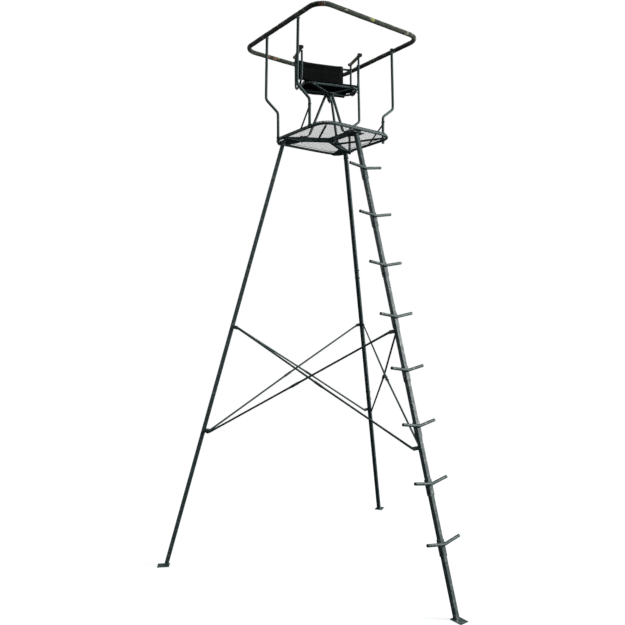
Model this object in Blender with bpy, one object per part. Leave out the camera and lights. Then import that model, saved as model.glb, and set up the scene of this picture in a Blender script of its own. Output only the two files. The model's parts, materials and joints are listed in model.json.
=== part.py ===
"""Tripod hunting stand: a raised platform on three legs, with a ladder, a shooting rail and a swivel seat."""

import math

import bmesh
import bpy
from mathutils import Matrix, Vector

# Every size is in metres. Places are measured from the tripod's axis, and root carries them to the world.
GAP = 0.0003  # clearance between pieces that touch on the real stand

# Tripod
LEG_ANGLES = {"left": 150.0, "right": 30.0, "ladder": 270.0}  # degrees round the axis
LEG_SIDE = 0.038
LEG_WALL = 0.0016
LEG_CHAMFER = 0.003
FOOT_RADIUS = {"left": 1.54, "right": 1.54, "ladder": 1.512}
TOP_RADIUS = {"left": 0.44, "right": 0.44, "ladder": 0.384}
SWAGE_SIDE = LEG_SIDE - 2 * LEG_WALL - 2 * GAP
SWAGE_LENGTH = 0.14
SWAGE_TAPER = 0.010
LEG_SEAMS_Z = (2.655, 1.325)

# Platform
PLATFORM_Z = 3.963
PLATFORM_Y = -0.03
PLATFORM_HALF = 0.414
PLATFORM_CORNER = 0.15
FRAME_R = 0.0127
FRAME_SEAM = 0.001
TUBE_WALL = 0.0016
BEAM_SIDE = 0.038
BEAM_INNER = 0.0125
LADDER_BEAM_END = 0.4305
FLOOR_THICKNESS = 0.003
CROSS_BAR_R = 0.0095
PLATE = 0.005
SPIGOT_LENGTH = 0.12

# Feet
FOOT_LENGTH = 0.108
FOOT_WIDTH = 0.085
FOOT_OFFSET = 0.023
STAKE_HOLE_R = 0.006

# Braces
LUG_HEIGHTS = {"high": 2.195, "low": 1.237}
LADDER_HIGH_LUG_Z = 2.168  # just under the step sleeve above it
LUG_THICKNESS = 0.0055
LUG_HALF_HEIGHT = 0.016
LUG_SUNK = 0.0008
EAR_FOLD = 0.017
EAR_LENGTH = 0.042
EAR_BOLT = 0.026
EAR_ANGLE = math.radians(45)
BRACE_R = 0.0085
BRACE_WALL = 0.0015
BRACE_COUPLER_R = 0.0105
BRACE_COUPLER_HALF = 0.045
BRACE_TAB_WIDTH = 0.022
BRACE_TAB_THICKNESS = 0.0044
BRACE_BOW = 0.015

# Ladder
STEP_COUNT = 8
STEP_TOP_Z = 3.5904
STEP_PITCH = 0.4383
STEP_HALF_WIDTH = 0.178
STEP_RISE = 0.029
STEP_R = 0.0127
STEP_WALL = 0.0015
SLEEVE_WALL = 0.003
SLEEVE_ABOVE = 0.037
SLEEVE_BELOW = 0.088
STEP_SUNK = 0.0015
JOINING_STEPS = (3, 6)

# Shooting rail
RAIL_Z = 4.875
RAIL_Y = -0.015
RAIL_HALF = 0.594
RAIL_CORNER = 0.13
RAIL_TUBE_R = 0.0127
SLEEVE_R = 0.021
POST_R = 0.0127
POST_OFFSETS_Y = {"back": 0.255, "front": -0.24}
POST_BOTTOM_Z = PLATFORM_Z - 0.016
POST_LOW_BEND_Z = 4.200
POST_HIGH_BEND_Z = 4.298
POST_TOP_Z = RAIL_Z + 0.008
POST_LEAN_TOP_Z = RAIL_Z - 0.045
POST_LEAN = 0.014  # how much further out a post is at its high bend than at the rail
POST_BEND_R = 0.045
COLLAR_Z = 4.148
COLLAR_R = 0.0150
COLLAR_HALF = 0.009
GUSSET_R = 0.0075
GUSSET_TOP_Z = 4.118
GUSSET_RUN = 0.165

# Seat, in its own frame: X to the sitter's left hand side, Y towards the back rest
SEAT_YAW = -18.0  # degrees
SEAT_TUBE_R = 0.010
PAN_Z = 4.462
PAN_FRONT_Y = -0.078
PAN_BACK_Y = 0.137
PAN_CORNER = 0.06
ARM_X = 0.287
PAN_HALF_X = ARM_X - 2 * SEAT_TUBE_R - GAP
ARM_FRONT_Y = -0.034
ARM_BACK_Y = 0.163
ARM_FRONT_BEND = 0.115
ARM_BACK_BEND = 0.05
ARM_PAD_Z = 4.786
ARM_PAD_WIDTH = 0.036
ARM_PAD_HEIGHT = 0.026
ARM_PAD_FRONT_Y = -0.070
ARM_PAD_BACK_Y = 0.190
ARM_CAP_LENGTH = 0.026
ARM_CAP_GROWTH = 0.006
ARM_PAD_SPLAY = {"left": 0.018, "right": 0.0}  # how far out the front end stands
BACK_TUBE_Z = 4.736
BACK_BOW = 0.012
BACK_TUBE_HALF_X = 0.298
PANEL_ENDS_X = (-0.262, 0.213)
PANEL_TOP_Z = 4.768
PANEL_BOTTOM_Z = 4.576
PANEL_THICKNESS = 0.032
PAD_THICKNESS = 0.025
PAD_HALF_X = ARM_X - SEAT_TUBE_R - 0.002
PAD_CORNER = 0.05

# Pedestal and swivel
HUB_TOP_Z = 4.402
HUB_FLANGE = 0.005
HUB_FLANGE_R = 0.055
HUB_SOCKET_R = 0.021
HUB_BORE_R = 0.0163
HUB_SOCKET_DEPTH = 0.062
SPINDLE_R = 0.0159
SPINDLE_BORE_R = 0.012
SPIDER_PLATE = 0.005
SPIDER_PLATE_R = 0.048
SPIDER_BAR_WIDTH = 0.030
SPIDER_BAR_THICKNESS = 0.005
WASHER_GAP = 0.0005
PEDESTAL_R = 0.0125
PEDESTAL_TOP_RADIUS = 0.036
PEDESTAL_BEND_RADIUS = 0.202
PEDESTAL_FOOT_RADIUS = 0.285
PEDESTAL_FOOT_THICKNESS = 0.007
PEDESTAL_FOOT_WIDTH = 0.026

UP = Vector((0, 0, 1))
BEAM_TOP_Z = PLATFORM_Z + BEAM_SIDE / 2
BEAM_BOTTOM_Z = PLATFORM_Z - BEAM_SIDE / 2
FLOOR_TOP_Z = BEAM_TOP_Z + GAP + FLOOR_THICKNESS
PLATE_BOTTOM_Z = BEAM_BOTTOM_Z - GAP - PLATE
LEG_TOP_Z = PLATE_BOTTOM_Z - GAP
LEG_BOTTOM_Z = PLATE + GAP
POST_X = PLATFORM_HALF + FRAME_R + POST_R + GAP
POST_HIGH_X = RAIL_HALF - SLEEVE_R - POST_R - GAP
PAN_TOP_Z = PAN_Z + SEAT_TUBE_R


def clear_scene():
    for obj in list(bpy.data.objects):
        bpy.data.objects.remove(obj)


def make_material(name, color, roughness, metallic):
    material = bpy.data.materials.new(name)
    material.use_nodes = True
    shader = material.node_tree.nodes["Principled BSDF"]
    shader.inputs["Base Color"].default_value = (*color, 1.0)
    shader.inputs["Roughness"].default_value = roughness
    shader.inputs["Metallic"].default_value = metallic
    return material


# Profiles are lists of (u, v) points, anticlockwise.


def circle(radius, sides=12):
    turn = 2 * math.pi / sides
    return [(radius * math.cos(k * turn), radius * math.sin(k * turn)) for k in range(sides)]


def chamfered(width, height, cut):
    """Rectangle with its four corners cut off."""
    x, y = width / 2, height / 2
    return [
        (x, -y + cut),
        (x, y - cut),
        (x - cut, y),
        (-x + cut, y),
        (-x, y - cut),
        (-x, -y + cut),
        (-x + cut, -y),
        (x - cut, -y),
    ]


def square(side):
    return chamfered(side, side, LEG_CHAMFER)


def bent(points, radius, steps=3):
    """The points, with an arc of the given radius in place of each inner corner."""
    points = [Vector(p) for p in points]
    radii = radius if isinstance(radius, (list, tuple)) else [radius] * (len(points) - 2)
    path = [points[0]]
    for before, corner, after, r in zip(points, points[1:], points[2:], radii):
        path += arc_at(before, corner, after, r, steps)
    return path + [points[-1]]


def arc_at(before, corner, after, radius, steps):
    to_before = (before - corner).normalized()
    to_after = (after - corner).normalized()
    half = to_before.angle(to_after) / 2
    centre = corner + (to_before + to_after).normalized() * radius / math.sin(half)
    start = corner + to_before * radius / math.tan(half) - centre
    axis = to_before.cross(to_after).normalized()
    sweep = -(math.pi - 2 * half)
    return [centre + Matrix.Rotation(sweep * k / steps, 3, axis) @ start for k in range(steps + 1)]


def rounded_square(half, corner, steps=4):
    """Corner-rounded square outline in XY, anticlockwise, from the middle of its +Y side."""
    points = [(0, half, 0), (-half, half, 0), (-half, -half, 0), (half, -half, 0), (half, half, 0), (0, half, 0)]
    return bent(points, corner, steps)


def tangents(path):
    steps = [(b - a).normalized() for a, b in zip(path, path[1:])]
    inner = [(a + b).normalized() for a, b in zip(steps, steps[1:])]
    return [steps[0]] + inner + [steps[-1]]


def ring(point, along, side, profile, plane=None):
    """Points of a profile round a path point. plane is (point, normal) to cut the tube's end on."""
    u_axis = (side - along * side.dot(along)).normalized()
    v_axis = along.cross(u_axis)
    points = [point + u_axis * u + v_axis * v for u, v in profile]
    if plane:
        through, normal = plane
        points = [p + along * ((through - p).dot(normal) / along.dot(normal)) for p in points]
    return points


def rings(path, profiles, side, start=None, end=None):
    if not isinstance(profiles[0], list):
        profiles = [profiles] * len(path)
    last = len(path) - 1
    planes = [start if k == 0 else end if k == last else None for k in range(len(path))]
    stations = zip(path, tangents(path), profiles, planes)
    return [ring(point, along, side, profile, plane) for point, along, profile, plane in stations]


def best_turn(first, second):
    """How far to turn the second ring's numbering so that the two line up."""
    count = len(first)
    shift = sum(second, Vector()) / count - sum(first, Vector()) / count

    def spread(turn):
        return sum((first[k] + shift - second[(k + turn) % count]).length_squared for k in range(count))

    return min(range(count), key=spread)


def loft(outer, inner=None):
    """A closed mesh through outer rings, hollow where inner rings are given, open at both ends."""
    bm = bmesh.new()

    def skin(ring_list):
        made = [[bm.verts.new(p) for p in points] for points in ring_list]
        for (a, points_a), (b, points_b) in zip(zip(made, ring_list), zip(made[1:], ring_list[1:])):
            bridge(a, points_a, b, points_b)
        return made

    def bridge(a, points_a, b, points_b):
        turn = best_turn(points_a, points_b)
        count = len(a)
        for k in range(count):
            after = (k + 1) % count
            bm.faces.new((a[k], a[after], b[(after + turn) % count], b[(k + turn) % count]))

    shell = skin(outer)
    if inner:
        bore = skin(inner)
        for end in (0, -1):
            bridge(shell[end], outer[end], bore[end], inner[end])
    else:
        bm.faces.new(shell[0])
        bm.faces.new(shell[-1])
    return bm


def prism(outline, low, high):
    """An outline of (x, y) points, pulled up from one height to another."""
    bottom = [Vector((x, y, low)) for x, y in outline]
    top = [Vector((x, y, high)) for x, y in outline]
    return loft([bottom, top])


def turned(profile, sides=24):
    """A closed (radius, z) outline turned round Z."""
    bm = bmesh.new()
    angles = [2 * math.pi * k / sides for k in range(sides)]
    made = [[bm.verts.new((r * math.cos(a), r * math.sin(a), z)) for r, z in profile] for a in angles]
    count = len(profile)
    for a, b in zip(made, made[1:] + made[:1]):
        for k in range(count):
            after = (k + 1) % count
            bm.faces.new((a[k], a[after], b[after], b[k]))
    return bm


def add(name, bm, material, parent, smooth=True):
    """Turns a bmesh into a named object, with its faces pointing out."""
    bmesh.ops.recalc_face_normals(bm, faces=bm.faces)
    if bm.calc_volume(signed=True) < 0:
        bmesh.ops.reverse_faces(bm, faces=bm.faces)
    mesh = bpy.data.meshes.new(name)
    bm.to_mesh(mesh)
    bm.free()
    mesh.materials.append(material)
    if smooth:
        mesh.shade_smooth()
        mesh.set_sharp_from_angle(angle=math.radians(40))
    obj = bpy.data.objects.new(name, mesh)
    bpy.context.scene.collection.objects.link(obj)
    obj.parent = parent
    return obj


def combine(target, helper, operation="UNION"):
    """Joins or cuts the target with a helper, which isn't itself a piece."""
    helper.hide_render = True
    helper.display_type = "WIRE"
    modifier = target.modifiers.new(helper.name, "BOOLEAN")
    modifier.operation = operation
    modifier.object = helper
    modifier.solver = "EXACT"


def tube(name, path, radius, material, parent, wall=TUBE_WALL, side=UP, sides=12, start=None, end=None):
    outer = rings(path, circle(radius, sides), side, start, end)
    inner = rings(path, circle(radius - wall, sides), side, start, end)
    return add(name, loft(outer, inner), material, parent)


def horizontal(z):
    return (Vector((0, 0, z)), UP)


# Legs


def outward(leg):
    angle = math.radians(LEG_ANGLES[leg])
    return Vector((math.cos(angle), math.sin(angle), 0))


def crosswise(leg):
    return UP.cross(outward(leg))


def leg_point(leg, z):
    """A point on a leg's centre line."""
    radius = FOOT_RADIUS[leg] + (TOP_RADIUS[leg] - FOOT_RADIUS[leg]) * z / LEG_TOP_Z
    return outward(leg) * radius + UP * z


def leg_direction(leg):
    return (leg_point(leg, LEG_TOP_Z) - leg_point(leg, 0)).normalized()


def leg_section(name, leg, low_z, high_z, material, parent, swaged=False):
    """A length of square tube on a leg's line. A swaged one ends in a neck that fits the section above."""
    along = leg_direction(leg)
    side = crosswise(leg)
    low, high = leg_point(leg, low_z), leg_point(leg, high_z)
    full, bore = square(LEG_SIDE), square(LEG_SIDE - 2 * LEG_WALL)
    path, outer, inner = [low, high], [full, full], [bore, bore]
    if swaged:
        neck, neck_bore = square(SWAGE_SIDE), square(SWAGE_SIDE - 2 * LEG_WALL)
        path = [low, high - along * SWAGE_TAPER, high, high + along * SWAGE_LENGTH]
        outer = [full, full, neck, neck]
        inner = [bore, bore, neck_bore, neck_bore]
    start = horizontal(LEG_BOTTOM_Z) if low_z == LEG_BOTTOM_Z else None
    end = horizontal(LEG_TOP_Z) if high_z == LEG_TOP_Z else None
    skins = rings(path, outer, side, start, end), rings(path, inner, side, start, end)
    return add(name, loft(*skins), material, parent, smooth=False)


def inner_normal(leg):
    """The way a leg's inner face looks."""
    normal = crosswise(leg).cross(leg_direction(leg))
    return -normal if normal.dot(outward(leg)) > 0 else normal


def lug_centre(leg, height):
    """The point on the leg's line that a lug is level with."""
    z = LADDER_HIGH_LUG_Z if (leg, height) == ("ladder", "high") else LUG_HEIGHTS[height]
    return leg_point(leg, z)


def lug(leg, height, material, parent):
    """A plate on the leg's inner face, with an ear folded towards each brace it holds."""
    along = leg_direction(leg)
    side = crosswise(leg)
    inward = inner_normal(leg)
    base = lug_centre(leg, height) + inward * (LEG_SIDE / 2 - LUG_SUNK)
    across, deep = math.cos(EAR_ANGLE), math.sin(EAR_ANGLE)
    tip_x, tip_y = EAR_FOLD + EAR_LENGTH * across, EAR_LENGTH * deep
    half = [
        (EAR_FOLD, 0),
        (tip_x, tip_y),
        (tip_x - LUG_THICKNESS * deep, tip_y + LUG_THICKNESS * across),
        (EAR_FOLD - LUG_THICKNESS * math.tan(EAR_ANGLE / 2), LUG_THICKNESS),
    ]
    plan = half + [(-x, y) for x, y in reversed(half)]
    faces = []
    for rise in (-LUG_HALF_HEIGHT, LUG_HALF_HEIGHT):
        faces.append([base + side * x + inward * y + along * rise for x, y in plan])
    return add(f"{leg}_{height}_lug", loft(faces), material, parent, smooth=False)


def make_legs(steel, parent):
    high_seam, low_seam = LEG_SEAMS_Z
    for leg in ("left", "right"):
        leg_section(f"leg_{leg}_upper", leg, high_seam, LEG_TOP_Z, steel, parent)
        middle = leg_section(f"leg_{leg}_middle", leg, low_seam, high_seam - GAP, steel, parent, swaged=True)
        lower = leg_section(f"leg_{leg}_lower", leg, LEG_BOTTOM_Z, low_seam - GAP, steel, parent, swaged=True)
        combine(middle, lug(leg, "high", steel, parent))
        combine(lower, lug(leg, "low", steel, parent))


def foot_outline(leg):
    """Corners of a foot plate, as (x, y)."""
    centre = outward(leg) * (FOOT_RADIUS[leg] + FOOT_OFFSET)
    corners = []
    for a, b in ((-1, -1), (1, -1), (1, 1), (-1, 1)):
        corner = centre + outward(leg) * (a * FOOT_LENGTH / 2) + crosswise(leg) * (b * FOOT_WIDTH / 2)
        corners.append((corner.x, corner.y))
    return corners


def stake_hole(leg):
    """Centre of a foot plate's stake hole."""
    return outward(leg) * (FOOT_RADIUS[leg] + FOOT_OFFSET + FOOT_LENGTH / 2 - 0.016)


def make_feet(steel, parent):
    for leg in LEG_ANGLES:
        plate = add(f"foot_{leg}", prism(foot_outline(leg), 0, PLATE), steel, parent, smooth=False)
        hole = stake_hole(leg)
        rod = prism([(hole.x + u, hole.y + v) for u, v in circle(STAKE_HOLE_R)], -PLATE, 2 * PLATE)
        combine(plate, add(f"{leg}_stake_hole", rod, steel, parent), "DIFFERENCE")


# Braces


def brace_end(here, there):
    """The centre of a brace's flattened end, the way it points, and the normal of the ear it lies on."""
    (leg, height), other = here, there[0]
    inward = inner_normal(leg)
    side = crosswise(leg)
    if side.dot(leg_point(other, 0) - leg_point(leg, 0)) < 0:
        side = -side
    across, deep = math.cos(EAR_ANGLE), math.sin(EAR_ANGLE)
    ear = side * across + inward * deep
    normal = inward * across - side * deep
    fold = lug_centre(leg, height) + inward * (LEG_SIDE / 2 - LUG_SUNK) + side * EAR_FOLD
    lift = LUG_THICKNESS + GAP + BRACE_TAB_THICKNESS / 2
    return fold + ear * EAR_BOLT + normal * lift, ear, normal


def make_brace(name, first, second, bow, steel, parent):
    """A rod between two lugs, each given as (leg, height), with its ends flattened and bent to lie on them."""
    start, flat_a, side_a = brace_end(first, second)
    finish, flat_b, side_b = brace_end(second, first)
    bend_a, bend_b = start + flat_a * 0.016, finish + flat_b * 0.016
    rod = (bend_b - bend_a).normalized()
    middle = (bend_a + bend_b) / 2 + rod.cross(UP).normalized() * bow
    into, out = (middle - bend_a).normalized(), (bend_b - middle).normalized()
    flat = chamfered(BRACE_TAB_THICKNESS, BRACE_TAB_WIDTH, 0.0012)
    slot = chamfered(BRACE_TAB_THICKNESS - 0.0032, BRACE_TAB_WIDTH - 0.0032, 0.0003)
    pipe, bore = circle(BRACE_R, 8), circle(BRACE_R - BRACE_WALL, 8)
    coupler = circle(BRACE_COUPLER_R, 8)
    grip = BRACE_COUPLER_HALF
    stations = [
        (start - flat_a * 0.012, side_a, flat, slot),
        (bend_a, side_a, flat, slot),
        (bend_a + into * 0.030, side_a, pipe, bore),
        (middle - into * grip, side_a, pipe, bore),
        (middle - into * (grip - 0.002), side_a, coupler, bore),
        (middle + out * (grip - 0.002), side_a, coupler, bore),
        (middle + out * grip, side_a, pipe, bore),
        (bend_b - out * 0.030, side_b, pipe, bore),
        (bend_b, side_b, flat, slot),
        (finish - flat_b * 0.012, side_b, flat, slot),
    ]
    path = [s[0] for s in stations]
    shells = {2: [], 3: []}
    for (point, side, *profiles), along in zip(stations, tangents(path)):
        for index, profile in zip(shells, profiles):
            shells[index].append(ring(point, along, side, profile))
    add(name, loft(shells[2], shells[3]), steel, parent)


def make_braces(steel, parent):
    pairs = (("left", "right"), ("right", "ladder"), ("ladder", "left"))
    for first, second in pairs:
        for height, other, bow in (("high", "low", BRACE_BOW), ("low", "high", -BRACE_BOW)):
            name = f"brace_{first}_{height}_to_{second}_{other}"
            make_brace(name, (first, height), (second, other), bow, steel, parent)


# Ladder


def step_z(number):
    return STEP_TOP_Z - (number - 1) * STEP_PITCH


def make_ladder(steel, parent):
    seams = [step_z(number) + (SLEEVE_ABOVE - SLEEVE_BELOW) / 2 for number in JOINING_STEPS]
    high_seam, low_seam = seams
    leg_section("ladder_upper", "ladder", high_seam, LEG_TOP_Z, steel, parent)
    middle = leg_section("ladder_middle", "ladder", low_seam, high_seam - GAP, steel, parent)
    lower = leg_section("ladder_lower", "ladder", LEG_BOTTOM_Z, low_seam - GAP, steel, parent)
    combine(middle, lug("ladder", "high", steel, parent))
    combine(lower, lug("ladder", "low", steel, parent))
    for number in range(1, STEP_COUNT + 1):
        make_step(number, steel, parent)


def make_step(number, steel, parent):
    """A bent tube welded across the front of a square sleeve on the ladder pole."""
    along = leg_direction("ladder")
    side = crosswise("ladder")
    front = -inner_normal("ladder")
    centre = leg_point("ladder", step_z(number))
    bore_side = LEG_SIDE + 2 * GAP
    sleeve_path = [centre - along * SLEEVE_BELOW, centre + along * SLEEVE_ABOVE]
    outer = rings(sleeve_path, square(bore_side + 2 * SLEEVE_WALL), side)
    inner = rings(sleeve_path, square(bore_side), side)
    sleeve = add(f"step_{number}", loft(outer, inner), steel, parent, smooth=False)
    vertex = centre + front * (bore_side / 2 + SLEEVE_WALL + STEP_R - STEP_SUNK)
    ends = [vertex + side * (s * STEP_HALF_WIDTH) + along * STEP_RISE for s in (-1, 1)]
    path = bent([ends[0], vertex, ends[1]], 0.06, 2)
    bar = add(f"step_{number}_bar", loft(rings(path, circle(STEP_R, 10), along)), steel, parent)
    long_path = [path[0] + (path[0] - path[1]) * 0.01, *path[1:-1], path[-1] + (path[-1] - path[-2]) * 0.01]
    bore = add(f"step_{number}_bore", loft(rings(long_path, circle(STEP_R - STEP_WALL, 10), along)), steel, parent)
    combine(sleeve, bar)
    combine(sleeve, bore, "DIFFERENCE")


# Platform


def make_platform(steel, grating, parent):
    middle = Vector((0, PLATFORM_Y, PLATFORM_Z))
    outline = [middle + p for p in rounded_square(PLATFORM_HALF, PLATFORM_CORNER)]
    outline[-1] = outline[-1] + Vector((FRAME_SEAM, 0, 0))
    tube("platform_frame", outline, FRAME_R, steel, parent)
    inset = FRAME_R + GAP
    plan = rounded_square(PLATFORM_HALF - inset, PLATFORM_CORNER - inset)[1:-1]
    shape = [(p.x, p.y + PLATFORM_Y) for p in plan]
    add("platform_floor", prism(shape, FLOOR_TOP_Z - FLOOR_THICKNESS, FLOOR_TOP_Z), grating, parent, smooth=False)
    ends = {"left": TOP_RADIUS["left"], "right": TOP_RADIUS["right"], "ladder": LADDER_BEAM_END}
    for leg, end in ends.items():
        path = [outward(leg) * radius + UP * PLATFORM_Z for radius in (BEAM_INNER, end)]
        skins = [rings(path, square(width), UP) for width in (BEAM_SIDE, BEAM_SIDE - 2 * LEG_WALL)]
        add(f"beam_{leg}", loft(*skins), steel, parent, smooth=False)
    make_cross_bars(steel, parent)
    make_sockets(steel, parent)


def make_cross_bars(steel, parent):
    """Bars from the front corners to the back beams, each cut flat against the beam it meets."""
    z = BEAM_BOTTOM_Z + CROSS_BAR_R
    for leg, sign in (("left", -1), ("right", 1)):
        across = crosswise(leg) * (1 if crosswise(leg).y < 0 else -1)
        landing = outward(leg) * 0.118 + across * (BEAM_SIDE / 2 + GAP) + UP * z
        corner = Vector((sign * 0.335, PLATFORM_Y - 0.335, z))
        tube(f"cross_bar_{leg}", [landing, corner], CROSS_BAR_R, steel, parent, start=(landing, across), sides=10)


def socket_outline(leg):
    """Plan of the plate under a leg's corner of the platform."""
    if leg == "ladder":
        return [(-0.065, -0.425), (0.065, -0.425), (0.065, -0.335), (0.03, -0.285), (-0.03, -0.285), (-0.065, -0.335)]
    sign = math.copysign(1, outward(leg).x)
    points = [(0.405, 0.115), (0.405, 0.262), (0.383, 0.325), (0.340, 0.360)]
    points += [(0.290, 0.345), (0.235, 0.165), (0.250, 0.115)]
    return [(sign * x, y) for x, y in points[:: int(sign)]]


def make_sockets(steel, parent):
    for leg in LEG_ANGLES:
        body = prism(socket_outline(leg), PLATE_BOTTOM_Z, PLATE_BOTTOM_Z + PLATE)
        plate = add(f"leg_socket_{leg}", body, steel, parent)
        along = leg_direction(leg)
        sunk = PLATE / 2
        top = leg_point(leg, LEG_TOP_Z)
        path = [top - along * SPIGOT_LENGTH, top]
        cut = horizontal(PLATE_BOTTOM_Z + sunk)
        skins = [rings(path, square(s), crosswise(leg), None, cut) for s in (SWAGE_SIDE, SWAGE_SIDE - 2 * LEG_WALL)]
        combine(plate, add(f"{leg}_spigot", loft(*skins), steel, parent, smooth=False))


# Shooting rail


def make_posts(steel, parent):
    for place, offset in POST_OFFSETS_Y.items():
        for hand, sign in (("left", -1), ("right", 1)):
            y = PLATFORM_Y + offset
            corners = [
                (sign * POST_X, y, POST_BOTTOM_Z),
                (sign * POST_X, y, POST_LOW_BEND_Z),
                (sign * (POST_HIGH_X + POST_LEAN), y, POST_HIGH_BEND_Z),
                (sign * POST_HIGH_X, y, POST_LEAN_TOP_Z),
            ]
            path = [*bent(corners, POST_BEND_R), Vector((sign * POST_HIGH_X, y, POST_TOP_Z))]
            radii = [POST_R] * len(path)
            if place == "front":
                path, radii = with_collar(path, radii, sign, y)
            side = Vector((0, 1, 0))
            outer = rings(path, [circle(r) for r in radii], side)
            inner = rings(path, circle(POST_R - TUBE_WALL), side)
            add(f"rail_post_{place}_{hand}", loft(outer, inner), steel, parent)
    for hand, sign in (("left", -1), ("right", 1)):
        make_gusset(hand, sign, steel, parent)


def with_collar(path, radii, sign, y):
    """Adds the slip joint's collar low on a front post."""
    low, high = COLLAR_Z - COLLAR_HALF, COLLAR_Z + COLLAR_HALF
    heights = (low, low + 0.002, high - 0.002, high)
    collar = [Vector((sign * POST_X, y, z)) for z in heights]
    return [path[0], *collar, *path[1:]], [radii[0], POST_R, COLLAR_R, COLLAR_R, POST_R, *radii[1:]]


def make_gusset(hand, sign, steel, parent):
    y = PLATFORM_Y + POST_OFFSETS_Y["front"]
    top = Vector((sign * POST_X, y + POST_R + GAP, GUSSET_TOP_Z))
    foot = Vector((sign * PLATFORM_HALF, y + GUSSET_RUN, PLATFORM_Z + FRAME_R + GAP))
    tube(
        f"post_gusset_{hand}",
        [top, foot],
        GUSSET_R,
        steel,
        parent,
        wall=0.0012,
        side=Vector((1, 0, 0)),
        sides=8,
        start=(top, Vector((0, 1, 0))),
        end=(foot, UP),
    )


def rail_path(end):
    """Half of the square rail: end is 1 for the back half and -1 for the front half."""
    corners = [
        (-RAIL_HALF, RAIL_Y + end * GAP / 2, RAIL_Z),
        (-RAIL_HALF, RAIL_Y + end * RAIL_HALF, RAIL_Z),
        (RAIL_HALF, RAIL_Y + end * RAIL_HALF, RAIL_Z),
        (RAIL_HALF, RAIL_Y + end * GAP / 2, RAIL_Z),
    ]
    return bent(corners, RAIL_CORNER, 4)


def make_rail(steel, camo, parent):
    for place, end in (("back", 1), ("front", -1)):
        path = rail_path(end)
        tube(f"rail_tube_{place}", path, RAIL_TUBE_R, steel, parent, sides=10)
        outer = rings(path, circle(SLEEVE_R, 10), UP)
        inner = rings(path, circle(RAIL_TUBE_R + 2 * GAP, 10), UP)
        add(f"rail_sleeve_{place}", loft(outer, inner), camo, parent)


# Pedestal


def make_pedestal(steel, parent):
    foot_z = FLOOR_TOP_Z + GAP + PEDESTAL_FOOT_THICKNESS / 2
    top_z = HUB_TOP_Z - HUB_FLANGE - GAP
    foot = chamfered(PEDESTAL_FOOT_WIDTH, PEDESTAL_FOOT_THICKNESS, 0.0015)
    slot = chamfered(PEDESTAL_FOOT_WIDTH - 0.004, PEDESTAL_FOOT_THICKNESS - 0.004, 0.0008)
    pipe, bore = circle(PEDESTAL_R, 8), circle(PEDESTAL_R - TUBE_WALL, 8)
    for leg in LEG_ANGLES:
        radii = (PEDESTAL_TOP_RADIUS, PEDESTAL_BEND_RADIUS, PEDESTAL_FOOT_RADIUS)
        heights = (top_z, foot_z, foot_z)
        path = bent([outward(leg) * r + UP * z for r, z in zip(radii, heights)], 0.05, 3)
        start = path[1] + (path[0] - path[1]).normalized() * 0.03
        path = [path[0], start, *path[1:]]
        profiles = [pipe, pipe, pipe] + [foot] * (len(path) - 3)
        bores = [bore, bore, bore] + [slot] * (len(path) - 3)
        cut = horizontal(top_z)
        skins = [rings(path, p, crosswise(leg), cut) for p in (profiles, bores)]
        add(f"pedestal_leg_{leg}", loft(*skins), steel, parent)
    low, shoulder = HUB_TOP_Z - HUB_SOCKET_DEPTH, HUB_TOP_Z - HUB_FLANGE
    outline = [
        (HUB_BORE_R, low),
        (HUB_SOCKET_R, low),
        (HUB_SOCKET_R, shoulder),
        (HUB_FLANGE_R, shoulder),
        (HUB_FLANGE_R, HUB_TOP_Z),
        (HUB_BORE_R, HUB_TOP_Z),
    ]
    add("pedestal_hub", turned(outline), steel, parent)


# Seat


def make_spider(steel, parent):
    """The spindle, its plate, and two crossed bars that carry the seat pan."""
    low = HUB_TOP_Z + WASHER_GAP
    high = low + SPIDER_PLATE
    outline = [
        (SPINDLE_BORE_R, HUB_TOP_Z - HUB_SOCKET_DEPTH + 0.004),
        (SPINDLE_R, HUB_TOP_Z - HUB_SOCKET_DEPTH + 0.004),
        (SPINDLE_R, low),
        (SPIDER_PLATE_R, low),
        (SPIDER_PLATE_R, high),
        (SPINDLE_BORE_R, high),
    ]
    spider = add("seat_spider", turned(outline), steel, parent)
    under = PAN_Z - SEAT_TUBE_R - GAP - SPIDER_BAR_THICKNESS / 2
    base = high + SPIDER_BAR_THICKNESS / 2 - 0.0005
    bar = chamfered(SPIDER_BAR_WIDTH, SPIDER_BAR_THICKNESS, 0.0008)
    for number, sign in enumerate((1, -1)):
        near = Vector((-sign * 0.205, PAN_FRONT_Y - 0.006, under))
        far = Vector((sign * 0.205, PAN_BACK_Y + 0.006, under))
        inner_near = near * 0.86
        inner_far = far * 0.90
        inner_near.z = inner_far.z = under
        flat_near = Vector((near.x, near.y, 0)).normalized() * 0.026 + UP * base
        flat_far = Vector((far.x, far.y, 0)).normalized() * 0.026 + UP * base
        path = [near, inner_near, flat_near, flat_far, far * 0.90 + UP * (under - far.z * 0.90), far]
        side = (flat_far - flat_near).cross(UP)
        helper = add(f"spider_bar_{number}", loft(rings(path, bar, side)), steel, parent, smooth=False)
        combine(spider, helper)


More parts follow.
